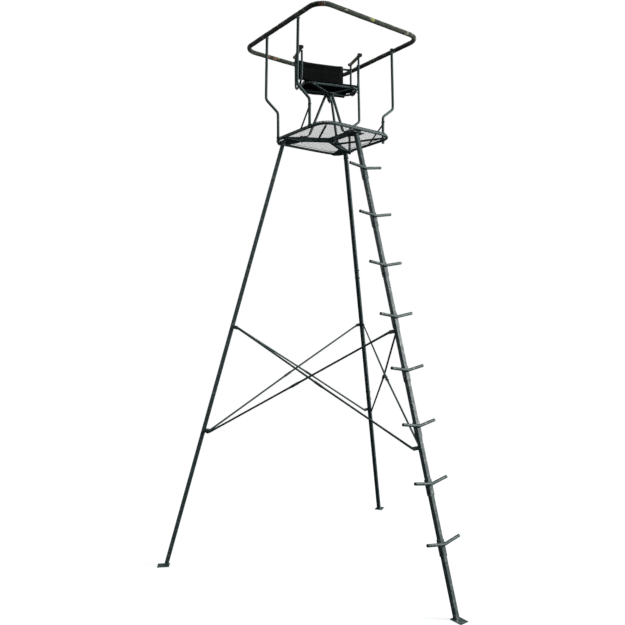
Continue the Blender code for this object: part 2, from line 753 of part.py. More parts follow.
def make_seat_frame(steel, parent):
    middle = Vector((0, (PAN_FRONT_Y + PAN_BACK_Y) / 2, PAN_Z))
    half_y = (PAN_BACK_Y - PAN_FRONT_Y) / 2
    corners = [(0, half_y), (-PAN_HALF_X, half_y), (-PAN_HALF_X, -half_y), (PAN_HALF_X, -half_y), (PAN_HALF_X, half_y)]
    points = [middle + Vector((x, y, 0)) for x, y in corners]
    points.append(points[0] + Vector((FRAME_SEAM, 0, 0)))
    tube("seat_frame", bent(points, PAN_CORNER, 4), SEAT_TUBE_R, steel, parent, sides=10)
    top = ARM_PAD_Z - ARM_PAD_HEIGHT / 2 - GAP
    for hand, sign in (("left", -1), ("right", 1)):
        x = sign * ARM_X
        corners = [(x, ARM_FRONT_Y, top), (x, ARM_FRONT_Y, PAN_Z), (x, ARM_BACK_Y, PAN_Z), (x, ARM_BACK_Y, top)]
        path = bent(corners, (ARM_FRONT_BEND, ARM_BACK_BEND), 4)
        tube(f"arm_tube_{hand}", path, SEAT_TUBE_R, steel, parent, side=Vector((1, 0, 0)), sides=10)
    line = back_line((-BACK_TUBE_HALF_X, -0.235, -0.12, 0.12, 0.235, BACK_TUBE_HALF_X))
    tube("back_tube", line, SEAT_TUBE_R, steel, parent, sides=10)


def back_line(places):
    """The back-rest tube's line, bowed backwards in the middle, through the given x places."""
    y = ARM_BACK_Y + 2 * SEAT_TUBE_R + GAP
    return [Vector((x, y + BACK_BOW * (1 - (x / 0.30) ** 2), BACK_TUBE_Z)) for x in places]


def make_soft_parts(black, camo, parent):
    for hand, sign in (("left", -1), ("right", 1)):
        make_arm_pad(hand, sign, camo, parent)
    half_y = (PAN_BACK_Y - PAN_FRONT_Y) / 2 + SEAT_TUBE_R
    middle_y = (PAN_FRONT_Y + PAN_BACK_Y) / 2
    corners = [(0, half_y), (-PAD_HALF_X, half_y), (-PAD_HALF_X, -half_y), (PAD_HALF_X, -half_y), (PAD_HALF_X, half_y)]
    points = [Vector((x, y + middle_y, 0)) for x, y in corners]
    plan = bent(points + points[:1], PAD_CORNER, 3)[1:-1]
    low = PAN_TOP_Z + GAP
    add("seat_pad", prism([(p.x, p.y) for p in plan], low, low + PAD_THICKNESS), black, parent)
    make_panel(black, parent)


def make_arm_pad(hand, sign, camo, parent):
    """A padded bar with a flared front cap. Its back end is square on the arm tube."""
    stations = (
        (ARM_PAD_FRONT_Y, ARM_CAP_GROWTH),
        (ARM_PAD_FRONT_Y + ARM_CAP_LENGTH * 0.6, ARM_CAP_GROWTH / 2),
        (ARM_PAD_FRONT_Y + ARM_CAP_LENGTH, 0),
        (ARM_PAD_BACK_Y, 0),
    )
    outline = []
    for y, growth in stations:
        share = (ARM_BACK_Y - y) / (ARM_BACK_Y - ARM_PAD_FRONT_Y)
        x = sign * (ARM_X + ARM_PAD_SPLAY[hand] * share)
        profile = chamfered(ARM_PAD_WIDTH + 2 * growth, ARM_PAD_HEIGHT + growth, 0.007)
        centre = Vector((x, y, ARM_PAD_Z + growth / 2))
        outline.append(ring(centre, Vector((0, 1, 0)), Vector((1, 0, 0)), profile))
    add(f"arm_pad_{hand}", loft(outline), camo, parent)


def make_panel(black, parent):
    """The back-rest panel, a padded sleeve that hangs on the back tube."""
    half = PANEL_THICKNESS / 2
    above, below = PANEL_TOP_Z - BACK_TUBE_Z, PANEL_BOTTOM_Z - BACK_TUBE_Z
    top = above - half
    outline = [(half * math.cos(a), top + half * math.sin(a)) for a in (0, math.pi / 3, 2 * math.pi / 3, math.pi)]
    outline += [(-half, 0), (-half, below * 0.5), (-half * 0.8, below + 0.006), (-half * 0.4, below)]
    outline += [(half * 0.4, below), (half * 0.8, below + 0.006), (half, below * 0.5), (half, 0)]
    path = back_line((PANEL_ENDS_X[0], -0.12, 0.12, PANEL_ENDS_X[1]))
    side = Vector((0, 1, 0))
    outer, inner = [], []
    for point, along in zip(path, tangents(path)):
        outer.append(ring(point, along, side, outline))
        inner.append(ring(point, along, side, circle(SEAT_TUBE_R + 0.002, 12)))
    add("back_panel", loft(outer, inner), black, parent)


def stand_shift():
    """How far the tripod's axis stands behind the middle of the feet's box."""
    ys = [y for leg in LEG_ANGLES for _, y in foot_outline(leg)]
    return -(max(ys) + min(ys)) / 2


def main():
    clear_scene()
    steel = make_material("powder_coated_steel", (0.030, 0.042, 0.042), 0.45, 0.3)
    grating = make_material("grating_steel", (0.045, 0.055, 0.055), 0.5, 0.3)
    black = make_material("black_fabric", (0.006, 0.006, 0.007), 0.85, 0.0)
    camo = make_material("camouflage_fabric", (0.060, 0.062, 0.035), 0.9, 0.0)
    root = bpy.data.objects.new("tripod_axis", None)
    root.location = (0, stand_shift(), 0)
    seat = bpy.data.objects.new("seat_pivot", None)
    seat.parent = root
    seat.rotation_euler = (0, 0, math.radians(SEAT_YAW))
    for empty in (root, seat):
        bpy.context.scene.collection.objects.link(empty)
    make_feet(steel, root)
    make_legs(steel, root)
    make_braces(steel, root)
    make_ladder(steel, root)
    make_platform(steel, grating, root)
    make_posts(steel, root)
    make_rail(steel, camo, root)
    make_pedestal(steel, root)
    make_spider(steel, seat)
    make_seat_frame(steel, seat)
    make_soft_parts(black, camo, seat)


main()
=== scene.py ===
"""Looks of the tripod hunting stand: coated steel, expanded metal, padded fabric and small hardware."""

import json
import math

import bmesh
import bpy
import numpy as np
from mathutils import Matrix, Vector, noise


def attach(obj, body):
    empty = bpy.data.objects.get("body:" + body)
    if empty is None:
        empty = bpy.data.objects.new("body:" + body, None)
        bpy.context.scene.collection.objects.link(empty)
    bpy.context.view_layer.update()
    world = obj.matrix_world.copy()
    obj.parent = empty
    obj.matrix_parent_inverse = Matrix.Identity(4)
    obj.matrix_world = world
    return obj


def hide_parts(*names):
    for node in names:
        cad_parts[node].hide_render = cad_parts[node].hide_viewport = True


# Sizes in metres. Heights are above the ground, and places are measured from the tripod's axis.
GAP = 0.0003  # between pieces that touch on the real stand
LEG_SIDE = 0.038
SLEEVE_SIDE = 0.0446  # outside of a step's sleeve
SLEEVE_BORE = 0.0386
SLEEVE_ABOVE = 0.037
SLEEVE_BELOW = 0.088
STEP_COUNT = 8
STEP_TOP_Z = 3.5904
STEP_PITCH = 0.4383
STEP_HALF_WIDTH = 0.178
STEP_RISE = 0.029
STEP_R = 0.0127
STEP_WALL = 0.0015
STEP_SUNK = 0.0015
STEP_BEND_R = 0.06
STEP_BOLT_DROP = 0.062  # from the middle of its sleeve's bar

LUG_HEIGHTS = {"high": 2.195, "low": 1.237}
LADDER_HIGH_LUG_Z = 2.168
LUG_THICKNESS = 0.0055
LUG_SUNK = 0.0008
LUG_HALF_HEIGHT = 0.016
EAR_FOLD = 0.017
EAR_BOLT = 0.026
EAR_ANGLE = math.radians(45)
BRACE_TAB_THICKNESS = 0.0044
BRACE_R = 0.0085
COUPLER_HALF = 0.042
COUPLER_R = 0.0120
LEG_BOLTS_Z = (2.768, 2.689, 1.430, 1.350)
SOCKET_BOLT_Z = 3.895

PLATFORM_Z = 3.963
PLATFORM_Y = -0.03
PLATFORM_HALF = 0.414
PLATFORM_CORNER = 0.15
FRAME_R = 0.0127
FLOOR_HALF = PLATFORM_HALF - FRAME_R * 0.4
BEAM_SIDE = 0.038
CROSS_BAR_R = 0.0095
FLOOR_TOP_Z = 3.9853
DIAMOND_LENGTH = 0.045
DIAMOND_WIDTH = 0.022
STRAND_WIDTH = 0.0027
STRAND_THICKNESS = 0.0014

RAIL_Z = 4.875
RAIL_Y = -0.015
RAIL_HALF = 0.594
RAIL_CORNER = 0.13
RAIL_SEAM = 0.0006  # half the space between the rail's halves
RAIL_PADDING_R = 0.0203
POST_R = 0.0127
POST_X = 0.4397  # middle of a post, beside the platform
POST_HIGH_X = 0.5600  # and inside the rail
POST_TOP_Z = 4.883
POST_BOTTOM_Z = 3.947
POST_OFFSETS_Y = {"back": 0.255, "front": -0.24}
COLLAR_Z = 4.148
GUSSET_R = 0.0075
GUSSET_TOP_Z = 4.118
GUSSET_RUN = 0.165

SEAT_YAW = math.radians(-18)
SEAT_TUBE_R = 0.010
PAN_Z = 4.462
PAN_FRONT_Y = -0.078
PAN_BACK_Y = 0.137
PAN_TOP_Z = PAN_Z + SEAT_TUBE_R
ARM_X = 0.287
ARM_BACK_Y = 0.163
ARM_PAD_Z = 4.786
ARM_PAD_WIDTH = 0.036
ARM_PAD_HEIGHT = 0.026
ARM_PAD_FRONT_Y = -0.070
ARM_PAD_BACK_Y = 0.190
ARM_PAD_SPLAY = {"left": 0.018, "right": 0.0}
BACK_TUBE_Z = 4.736
BACK_BOW = 0.012
BACK_BOW_HALF_X = 0.30
BACK_TUBE_HALF_X = 0.298
PANEL_ENDS_X = (-0.262, 0.213)
PANEL_TOP_Z = 4.768
PANEL_BOTTOM_Z = 4.576
PANEL_THICKNESS = 0.032
PAD_HALF_X = 0.275
PAD_THICKNESS = 0.025
PAD_CORNER = 0.05
PAD_CHANNELS_X = (-0.092, 0.092)
PAD_PULL = 0.35  # share of its pull to the middle that the puffed cushion keeps
FLAP_HALF_X = 0.215
FLAP_TOP = 0.0240  # above and below the middle of the pan's rear tube
FLAP_LOW = -0.024
PAN_BOLT_X = 0.19885
STRAP_X = 0.2
STRAP_WIDTH = 0.026
STRAP_THICKNESS = 0.0026

HUB_SOCKET_DEPTH = 0.062
HUB_SOCKET_R = 0.021
HUB_FLANGE = 0.005
PEDESTAL_R = 0.0125
PEDESTAL_BOLT_RADIUS = 0.268
PEDESTAL_FOOT_TOP_Z = 3.9926

UP = Vector((0, 0, 1))
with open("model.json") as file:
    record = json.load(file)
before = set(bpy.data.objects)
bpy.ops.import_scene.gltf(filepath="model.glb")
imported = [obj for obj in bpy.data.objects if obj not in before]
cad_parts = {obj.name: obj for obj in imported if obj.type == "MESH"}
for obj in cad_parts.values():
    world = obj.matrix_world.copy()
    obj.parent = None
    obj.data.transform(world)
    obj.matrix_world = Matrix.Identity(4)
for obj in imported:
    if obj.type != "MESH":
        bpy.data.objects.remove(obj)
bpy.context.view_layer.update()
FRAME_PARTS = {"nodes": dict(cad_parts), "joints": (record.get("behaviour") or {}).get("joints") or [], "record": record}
NODES = FRAME_PARTS["nodes"]
SWIVEL = Vector(FRAME_PARTS["joints"][0]["pos_m"])
AXIS = Vector((SWIVEL.x, SWIVEL.y, 0))
HUB_TOP_Z = SWIVEL.z
TO_SEAT = Matrix.Translation(AXIS) @ Matrix.Rotation(SEAT_YAW, 4, "Z")


# Camera, light and floor
CAMERA_PLACE = (-3.676, -4.606, 2.326)
CAMERA_TURN = (0.6446, 0.0038, -0.0041)  # yaw, pitch and roll, in radians
CAMERA_SENSOR = 36.0  # mm
CAMERA_LENS = 35.635
CAMERA_SHIFT = -0.0043
SKY_LOW = (0.035, 0.045, 0.050)
SKY_HIGH = (0.34, 0.39, 0.40)
LIGHTS = {  # place, size, power and colour of each light, which faces the middle of the stand
    "key": ((7.5, -7.0, 5.0), 3.5, 2200, (0.98, 1.0, 0.99)),
    "fill": ((-6.0, -6.0, 3.0), 4.0, 90, (0.94, 0.98, 1.0)),
    "top": ((0.5, 0.0, 10.0), 5.0, 350, (1.0, 1.0, 1.0)),
    "back": ((-3.0, 9.5, 4.0), 4.0, 260, (0.96, 0.98, 1.0)),
}
AIM_Z = 3.0
GROUND_R = 16.0
GROUND_Z = -0.0008
GROUND_FADE = (2.6, 6.5)  # the floor goes from solid to clear between these distances


def make_camera():
    """A level camera 2.3 m above the ground, to the left of the ladder."""
    data = bpy.data.cameras.new("camera")
    camera = bpy.data.objects.new("camera", data)
    bpy.context.scene.collection.objects.link(camera)
    bpy.context.scene.camera = camera
    yaw, pitch, roll = CAMERA_TURN
    ahead = Vector((math.sin(yaw) * math.cos(pitch), math.cos(yaw) * math.cos(pitch), math.sin(pitch)))
    level = Vector((math.cos(yaw), -math.sin(yaw), 0))
    rise = level.cross(ahead)
    right = level * math.cos(roll) + rise * math.sin(roll)
    up = rise * math.cos(roll) - level * math.sin(roll)
    turn = Matrix((right, up, -ahead)).transposed()
    camera.matrix_world = Matrix.Translation(stand_point(*CAMERA_PLACE)) @ turn.to_4x4()
    data.sensor_width = CAMERA_SENSOR
    data.lens = CAMERA_LENS
    data.shift_y = CAMERA_SHIFT
    data.clip_end = 200.0


def make_lights():
    middle = stand_point(0, 0, AIM_Z)
    for name, (place, size, power, colour) in LIGHTS.items():
        data = bpy.data.lights.new(name, "AREA")
        data.shape = "SQUARE"
        data.size = size
        data.energy = power
        data.color = colour
        lamp = bpy.data.objects.new(name, data)
        bpy.context.scene.collection.objects.link(lamp)
        lamp.location = place
        lamp.rotation_euler = (middle - Vector(place)).to_track_quat("-Z", "Y").to_euler()


def make_world():
    """A white backdrop for the camera, and for all else a soft sky that is darker below."""
    bpy.context.scene.view_settings.view_transform = "Standard"
    world = bpy.data.worlds.new("studio")
    bpy.context.scene.world = world
    world.use_nodes = True
    world.node_tree.nodes.clear()
    s = Nodes(world.node_tree)
    height = s.node("SeparateXYZ", {0: s.node("TexCoord").outputs["Generated"]}).outputs["Z"]
    soft = s.node("Background", {"Color": s.ramp(height, (0.0, SKY_LOW), (0.9, SKY_HIGH))})
    seen = s.node("Background", {"Color": (1, 1, 1)})
    to_camera = s.node("LightPath").outputs["Is Camera Ray"]
    mix = s.node("MixShader", {0: to_camera, 1: soft.outputs[0], 2: seen.outputs[0]})
    s.node("OutputWorld", {"Surface": mix.outputs[0]})


def make_ground():
    """A pale round floor that fades into the backdrop."""
    bm = bmesh.new()
    bmesh.ops.create_circle(bm, cap_ends=True, radius=GROUND_R, segments=96)
    mesh = bpy.data.meshes.new("studio_floor")
    bm.to_mesh(mesh)
    bm.free()
    floor = bpy.data.objects.new("studio_floor", mesh)
    bpy.context.scene.collection.objects.link(floor)
    floor.location = (0, 0, GROUND_Z)
    s = Shader("studio_floor", roughness=0.9)
    s.set(base=(0.18, 0.18, 0.18), glow=0.80, glow_colour=(1, 1, 1))
    distance = s.node("VectorMath", {0: s.place}, operation="LENGTH").outputs["Value"]
    near, far = GROUND_FADE
    fade = s.node("MapRange", {"Value": distance, "From Min": near, "From Max": far}).outputs[0]
    clear = s.node("BsdfTransparent").outputs[0]
    mix = s.node("MixShader", {0: fade, 1: s.principled.outputs[0], 2: clear})
    s.feed(s.tree.nodes["Material Output"].inputs["Surface"], mix.outputs[0])
    mesh.materials.append(s.material)
    floor.visible_diffuse = floor.visible_glossy = False


# Materials


SOCKETS = {
    "base": "Base Color",
    "specular": "Specular IOR Level",
    "sheen": "Sheen Weight",
    "sheen_roughness": "Sheen Roughness",
    "glow": "Emission Strength",
    "glow_colour": "Emission Color",
}


class Nodes:
    """A node tree that grows in short lines."""

    def __init__(self, tree):
        self.tree = tree

    def node(self, kind, inputs=None, **settings):
        made = self.tree.nodes.new(f"ShaderNode{kind}")
        for key, value in settings.items():
            setattr(made, key, value)
        for key, value in (inputs or {}).items():
            self.feed(made.inputs[key], value)
        return made

    def feed(self, socket, value):
        """Links a socket or sets its value. Colours are given without alpha."""
        if isinstance(value, bpy.types.NodeSocket):
            self.tree.links.new(value, socket)
        else:
            socket.default_value = (*value, 1.0) if socket.type == "RGBA" else value

    def ramp(self, factor, *stops, steps=False):
        """Stops are (position, grey or colour)."""
        made = self.node("ValToRGB", {"Fac": factor})
        made.color_ramp.interpolation = "CONSTANT" if steps else "LINEAR"
        elements = made.color_ramp.elements
        while len(elements) < len(stops):
            elements.new(1.0)
        for element, (position, colour) in zip(elements, stops):
            element.position = position
            element.color = (*(colour if isinstance(colour, tuple) else [colour] * 3), 1.0)
        return made.outputs["Color"]


class Shader(Nodes):
    """A material. Its patterns lie in the piece's own coordinates, in metres."""

    def __init__(self, name, roughness=0.5, metallic=0.0, specular=0.5):
        self.material = bpy.data.materials.new(name)
        self.material.use_nodes = True
        super().__init__(self.material.node_tree)
        self.principled = self.tree.nodes["Principled BSDF"]
        self.set(roughness=roughness, metallic=metallic, specular=specular)
        self.place = self.node("TexCoord").outputs["Object"]

    def set(self, **values):
        for key, value in values.items():
            self.feed(self.principled.inputs[SOCKETS.get(key, key.capitalize())], value)

    def placed(self, scale=(1, 1, 1), turn=(0, 0, 0)):
        return self.node("Mapping", {"Vector": self.place, "Scale": scale, "Rotation": turn}).outputs[0]

    def noise(self, scale, detail=2.0, roughness=0.5, place=None):
        inputs = {"Vector": place or self.place, "Scale": scale, "Detail": detail, "Roughness": roughness}
        return self.node("TexNoise", inputs).outputs[0]

    def cells(self, scale, randomness=1.0, place=None):
        inputs = {"Vector": place or self.place, "Scale": scale, "Randomness": randomness}
        return self.node("TexVoronoi", inputs)

    def mix(self, factor, first, second, blend="MIX"):
        inputs = {0: factor, 6: first, 7: second}
        return self.node("Mix", inputs, data_type="RGBA", blend_type=blend).outputs[2]

    def math(self, operation, *values):
        return self.node("Math", dict(enumerate(values)), operation=operation).outputs[0]

    def bump(self, height, distance, under=None):
        inputs = {"Height": height, "Distance": distance, "Strength": 1.0}
        if under:
            inputs["Normal"] = under
        return self.node("Bump", inputs).outputs[0]


def tinted(colour, factor):
    return tuple(c * factor for c in colour)


def make_steel(name, colour, metallic=0.0, roughness=0.54, worn=(0.16, 0.17, 0.165)):
    """Powder coat: uneven tone, dull patches, orange-peel skin, and paint rubbed thin along the edges."""
    s = Shader(name, roughness, metallic, 0.28)
    tone = s.noise(3.0, 3.0)
    base = s.mix(s.ramp(tone, (0.30, 0.0), (0.70, 1.0)), tinted(colour, 0.91), tinted(colour, 1.09))
    mottle = s.ramp(s.noise(70.0, 4.0, 0.6), (0.35, 0.93), (0.75, 1.07))
    base = s.mix(1.0, base, mottle, "MULTIPLY")
    edge = s.ramp(s.node("NewGeometry").outputs["Pointiness"], (0.515, 0.0), (0.56, 1.0))
    rubbed = s.ramp(s.noise(38.0, 5.0, 0.7), (0.52, 0.0), (0.66, 1.0))
    base = s.mix(s.math("MULTIPLY", edge, rubbed), base, worn)
    dust = s.ramp(s.noise(11.0, 6.0, 0.65), (0.56, 0.0), (0.80, 0.09))
    base = s.mix(dust, base, (0.060, 0.068, 0.063))
    shine = s.ramp(s.noise(24.0, 3.0), (0.3, roughness - 0.07), (0.7, roughness + 0.09))
    skin = s.bump(s.noise(850.0, 2.0), 0.00018)
    skin = s.bump(s.noise(140.0, 3.0), 0.00030, skin)
    s.set(base=base, roughness=shine, normal=skin)
    return s.material


def make_zinc(name, colour):
    """Plated hardware: darker patches and a fine brushed skin."""
    s = Shader(name, 0.38, 0.75)
    patches = s.ramp(s.noise(120.0, 4.0), (0.35, 0.70), (0.70, 1.15))
    s.set(
        base=s.mix(1.0, patches, colour, "MULTIPLY"),
        roughness=s.ramp(s.noise(260.0, 2.0), (0.3, 0.30), (0.7, 0.48)),
        normal=s.bump(s.noise(1500.0, 1.0), 0.00010),
    )
    return s.material


def make_plastic(name, colour):
    """Moulded plastic with a fine spark-eroded grain and a few scuffs."""
    s = Shader(name, 0.5, specular=0.25)
    scuffs = s.ramp(s.noise(45.0, 5.0, 0.7), (0.55, 0.0), (0.80, 1.0))
    s.set(
        base=s.mix(scuffs, colour, tinted(colour, 2.2)),
        roughness=s.ramp(s.noise(90.0, 3.0), (0.3, 0.42), (0.7, 0.60)),
        normal=s.bump(s.cells(1400.0).outputs["Distance"], 0.00012),
    )
    return s.material


def woven(s, pitch, turn):
    """Height of a plain weave: threads that cross on a lattice turned with the piece."""
    lattice = s.cells(1 / pitch, 0.0, s.placed(turn=(0, 0, turn)))
    slubs = s.noise(0.35 / pitch, 3.0, 0.6, s.placed(scale=(1, 4, 4), turn=(0, 0, turn)))
    dip = s.math("MULTIPLY", lattice.outputs["Distance"], -1.0)
    return s.math("ADD", dip, s.math("MULTIPLY", slubs, 0.6))


def make_black_fabric():
    s = Shader("black_fabric", 0.8, specular=0.05)
    weave = woven(s, 0.0013, -SEAT_YAW)
    black, worn = (0.0020, 0.0026, 0.0026), (0.0042, 0.0052, 0.0050)
    faded = s.ramp(s.noise(14.0, 4.0), (0.35, black), (0.75, worn))
    threads = s.ramp(weave, (0.0, 0.75), (0.5, 1.2))
    s.set(
        base=s.mix(1.0, faded, threads, "MULTIPLY"),
        roughness=s.ramp(s.noise(30.0), (0.3, 0.74), (0.7, 0.88)),
        normal=s.bump(s.noise(55.0, 3.0), 0.0008, s.bump(weave, 0.00025)),
        sheen=0.003,
        sheen_roughness=0.5,
    )
    return s.material


def make_camouflage(name, ground, bark, light, leaf, rust, scale):
    """Woodland print: ragged patches of four tones with twigs and a few bright leaves, on a fine weave."""
    s = Shader(name, 0.85, specular=0.2)
    shake = s.node("TexNoise", {"Vector": s.place, "Scale": scale * 2.2, "Detail": 3.0})
    reach = (0.02, 0.02, 0.02)
    shift = s.node("VectorMath", {0: shake.outputs["Color"], 1: reach}, operation="MULTIPLY")
    place = s.node("VectorMath", {0: s.place, 1: shift.outputs[0]}, operation="ADD").outputs[0]
    patches = s.noise(scale, 4.0, 0.62, place)
    dark = tinted(ground, 0.5)
    base = s.ramp(patches, (0.0, bark), (0.43, ground), (0.53, dark), (0.575, light), steps=True)
    twig = s.noise(scale * 1.4, 5.0, 0.6, s.placed(scale=(1.0, 2.6, 1.7), turn=(0.3, 0.5, 0.8)))
    twigs = s.ramp(s.math("ABSOLUTE", s.math("SUBTRACT", twig, 0.5)), (0.012, 1.0), (0.03, 0.0))
    base = s.mix(twigs, base, tinted(bark, 0.4))
    leaves = s.cells(scale * 0.55, 1.0, place)
    spot = s.math("LESS_THAN", leaves.outputs["Distance"], 0.27)
    pick = s.node("SeparateColor", {"Color": leaves.outputs["Color"]})
    for channel, threshold, colour in ((0, 0.78, leaf), (1, 0.74, rust)):
        chosen = s.math("GREATER_THAN", pick.outputs[channel], threshold)
        base = s.mix(s.math("MULTIPLY", spot, chosen), base, colour)
    worn = s.ramp(s.noise(90.0, 4.0), (0.3, 0.80), (0.7, 1.15))
    weave = woven(s, 0.0011, 0.0)
    s.set(
        base=s.mix(1.0, base, worn, "MULTIPLY"),
        roughness=s.ramp(s.noise(40.0), (0.3, 0.78), (0.7, 0.92)),
        normal=s.bump(s.noise(70.0, 3.0), 0.0010, s.bump(weave, 0.00022)),
        sheen=0.08,
        sheen_roughness=0.5,
    )
    return s.material


def make_thread(name, colour):
    """Sewing thread: a twisted two-ply strand."""
    s = Shader(name, 0.7, specular=0.3)
    twist = s.noise(1800.0, 1.0)
    s.set(base=s.mix(twist, tinted(colour, 0.7), tinted(colour, 1.3)), normal=s.bump(twist, 0.0001))
    return s.material


def make_webbing(name, colour):
    """Flat webbing with ribs along it."""
    s = Shader(name, 0.75, specular=0.25)
    along = s.placed(turn=(0, 0, -SEAT_YAW))
    ribs = s.node("TexWave", {"Vector": along, "Scale": 120.0}).outputs["Fac"]
    grain = s.noise(700.0, 2.0)
    s.set(
        base=s.mix(grain, tinted(colour, 0.7), tinted(colour, 1.4)),
        roughness=s.ramp(grain, (0.3, 0.70), (0.7, 0.85)),
        normal=s.bump(ribs, 0.0004, s.bump(grain, 0.0002)),
    )
    return s.material


# Mesh tools


def circle(radius, sides=24):
    turn = 2 * math.pi / sides
    return [(radius * math.cos(k * turn), radius * math.sin(k * turn)) for k in range(sides)]


def rounded_box(width, height, corner, steps=4):
    """Rectangle outline with round corners, anticlockwise."""
    points = []
    for quarter, (sx, sy) in enumerate(((1, 1), (-1, 1), (-1, -1), (1, -1))):
        for k in range(steps + 1):
            a = math.pi / 2 * (quarter + k / steps)
            x = sx * (width / 2 - corner) + corner * math.cos(a)
            points.append((x, sy * (height / 2 - corner) + corner * math.sin(a)))
    return points


def bent(points, radius, steps=8):
    """The points, with an arc of the given radius in place of each inner corner."""
    points = [Vector(p) for p in points]
    path = [points[0]]
    for before, corner, after in zip(points, points[1:], points[2:]):
        to_before = (before - corner).normalized()
        to_after = (after - corner).normalized()
        half = to_before.angle(to_after) / 2
        centre = corner + (to_before + to_after).normalized() * radius / math.sin(half)
        start = corner + to_before * radius / math.tan(half) - centre
        axis = to_before.cross(to_after).normalized()
        sweep = -(math.pi - 2 * half)
        path += [centre + Matrix.Rotation(sweep * k / steps, 3, axis) @ start for k in range(steps + 1)]
    return path + [points[-1]]


def rounded_loop(half_x, half_y, corner, steps):
    """A line round a rectangle with round corners, which ends where it starts."""
    corners = ((1, 0), (1, 1), (-1, 1), (-1, -1), (1, -1), (1, 0))
    return bent([(x * half_x, y * half_y, 0) for x, y in corners], corner, steps)


def spaced(path, step):
    """The path again, with points about step apart."""
    line = np.array([tuple(p) for p in path])
    lengths = np.concatenate([[0], np.cumsum(np.linalg.norm(np.diff(line, axis=0), axis=1))])
    places = np.linspace(0, lengths[-1], max(2, round(lengths[-1] / step) + 1))
    return [Vector(p) for p in np.stack([np.interp(places, lengths, line[:, k]) for k in range(3)], axis=1)]


def tangents(path, closed=False):
    if closed:
        return [(path[(k + 1) % len(path)] - path[k - 1]).normalized() for k in range(len(path))]
    steps = [(b - a).normalized() for a, b in zip(path, path[1:])]
    inner = [(a + b).normalized() for a, b in zip(steps, steps[1:])]
    return [steps[0]] + inner + [steps[-1]]


def bridge(bm, a, b):
    """Adds faces between two rings of points."""
    for k in range(len(a)):
        after = (k + 1) % len(a)
        bm.faces.new((a[k], a[after], b[after], b[k]))


def sweep(bm, path, profiles, side, closed=False, caps=True):
    """Adds a profile of (u, v) points swept along a path. u is along side, and v across both."""
    path = [Vector(p) for p in path]
    if not isinstance(profiles[0], list):
        profiles = [profiles] * len(path)
    made = []
    for point, along, profile in zip(path, tangents(path, closed), profiles):
        u_axis = (side - along * side.dot(along)).normalized()
        v_axis = along.cross(u_axis)
        made.append([bm.verts.new(point + u_axis * u + v_axis * v) for u, v in profile])
    for a, b in zip(made, made[1:] + made[:1] if closed else made[1:]):
        bridge(bm, a, b)
    if caps and not closed:
        bm.faces.new(made[0][::-1])
        bm.faces.new(made[-1])
    return made


def hollow(bm, path, outer, inner, side):
    """Adds a tube open at both ends, with its wall between two profiles of the same number of points."""
    shells = [sweep(bm, path, profile, side, caps=False) for profile in (outer, inner)]
    for end in (0, -1):
        bridge(bm, shells[0][end], shells[1][end])


def ring_points(centre, axis, radius, sides):
    """Points on a circle round an axis."""
    u_axis = across(axis)
    v_axis = axis.cross(u_axis)
    return [centre + (u_axis * u + v_axis * v) for u, v in circle(radius, sides)]


def across(axis):
    """Some direction square to an axis."""
    return axis.cross(UP if abs(axis.z) < 0.9 else Vector((1, 0, 0))).normalized()


def turned(bm, profile, origin, axis, sides=24):
    """Adds a solid turned round an axis, from a (radius, height) outline that starts and ends on it."""
    axis = axis.normalized()
    first = bm.verts.new(origin + axis * profile[0][1])
    last = bm.verts.new(origin + axis * profile[-1][1])
    rings = []
    for radius, height in profile[1:-1]:
        rings.append([bm.verts.new(p) for p in ring_points(origin + axis * height, axis, radius, sides)])
    for a, b in zip(rings, rings[1:]):
        bridge(bm, a, b)
    for k in range(sides):
        after = (k + 1) % sides
        bm.faces.new((first, rings[0][after], rings[0][k]))
        bm.faces.new((last, rings[-1][k], rings[-1][after]))


def smoothed(obj, levels=1):
    """Adds subdivision."""
    smooth = obj.modifiers.new("smooth", "SUBSURF")
    smooth.levels = smooth.render_levels = levels


def piece(name, bm, material, body, sharp=40, replaced=()):
    """Turns a bmesh into a piece that rides on a body."""
    bmesh.ops.recalc_face_normals(bm, faces=bm.faces)
    mesh = bpy.data.meshes.new(name)
    bm.to_mesh(mesh)
    bm.free()
    mesh.materials.append(material)
    mesh.shade_smooth()
    mesh.set_sharp_from_angle(angle=math.radians(sharp))
    obj = bpy.data.objects.new(name, mesh)
    bpy.context.scene.collection.objects.link(obj)
    if replaced:
        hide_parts(*replaced)
    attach(obj, body)
    return obj


# Places on the stand, read from the frame


def end_middle(node, highest):
    """The middle of a leg section's highest or lowest end."""
    points = {tuple(round(c, 5) for c in v.co) for v in NODES[node].data.vertices}
    level = (max if highest else min)(p[2] for p in points)
    end = [Vector(p) for p in points if abs(p[2] - level) < 1e-4]
    return sum(end, Vector()) / len(end)


SECTIONS = {"left": "leg_left_", "right": "leg_right_", "ladder": "ladder_"}
LEG_ENDS = {
    leg: (end_middle(f"{start}lower", False), end_middle(f"{start}upper", True))
    for leg, start in SECTIONS.items()
}


def leg_point(leg, z):
    low, high = LEG_ENDS[leg]
    return low.lerp(high, (z - low.z) / (high.z - low.z))


def outward(leg):
    away = LEG_ENDS[leg][0] - AXIS
    return Vector((away.x, away.y, 0)).normalized()


def crosswise(leg):
    return UP.cross(outward(leg))


def leg_direction(leg):
    low, high = LEG_ENDS[leg]
    return (high - low).normalized()


def inner_normal(leg):
    normal = crosswise(leg).cross(leg_direction(leg))
    return -normal if normal.dot(outward(leg)) > 0 else normal


def step_centre(number):
    return leg_point("ladder", STEP_TOP_Z - (number - 1) * STEP_PITCH)


def lug_centre(leg, height):
    return leg_point(leg, LADDER_HIGH_LUG_Z if (leg, height) == ("ladder", "high") else LUG_HEIGHTS[height])


def stand_point(x, y, z):
    return AXIS + Vector((x, y, z))


def seat_point(x, y, z):
    return TO_SEAT @ Vector((x, y, z))


def seat_way(x, y, z):
    return TO_SEAT.to_3x3() @ Vector((x, y, z))


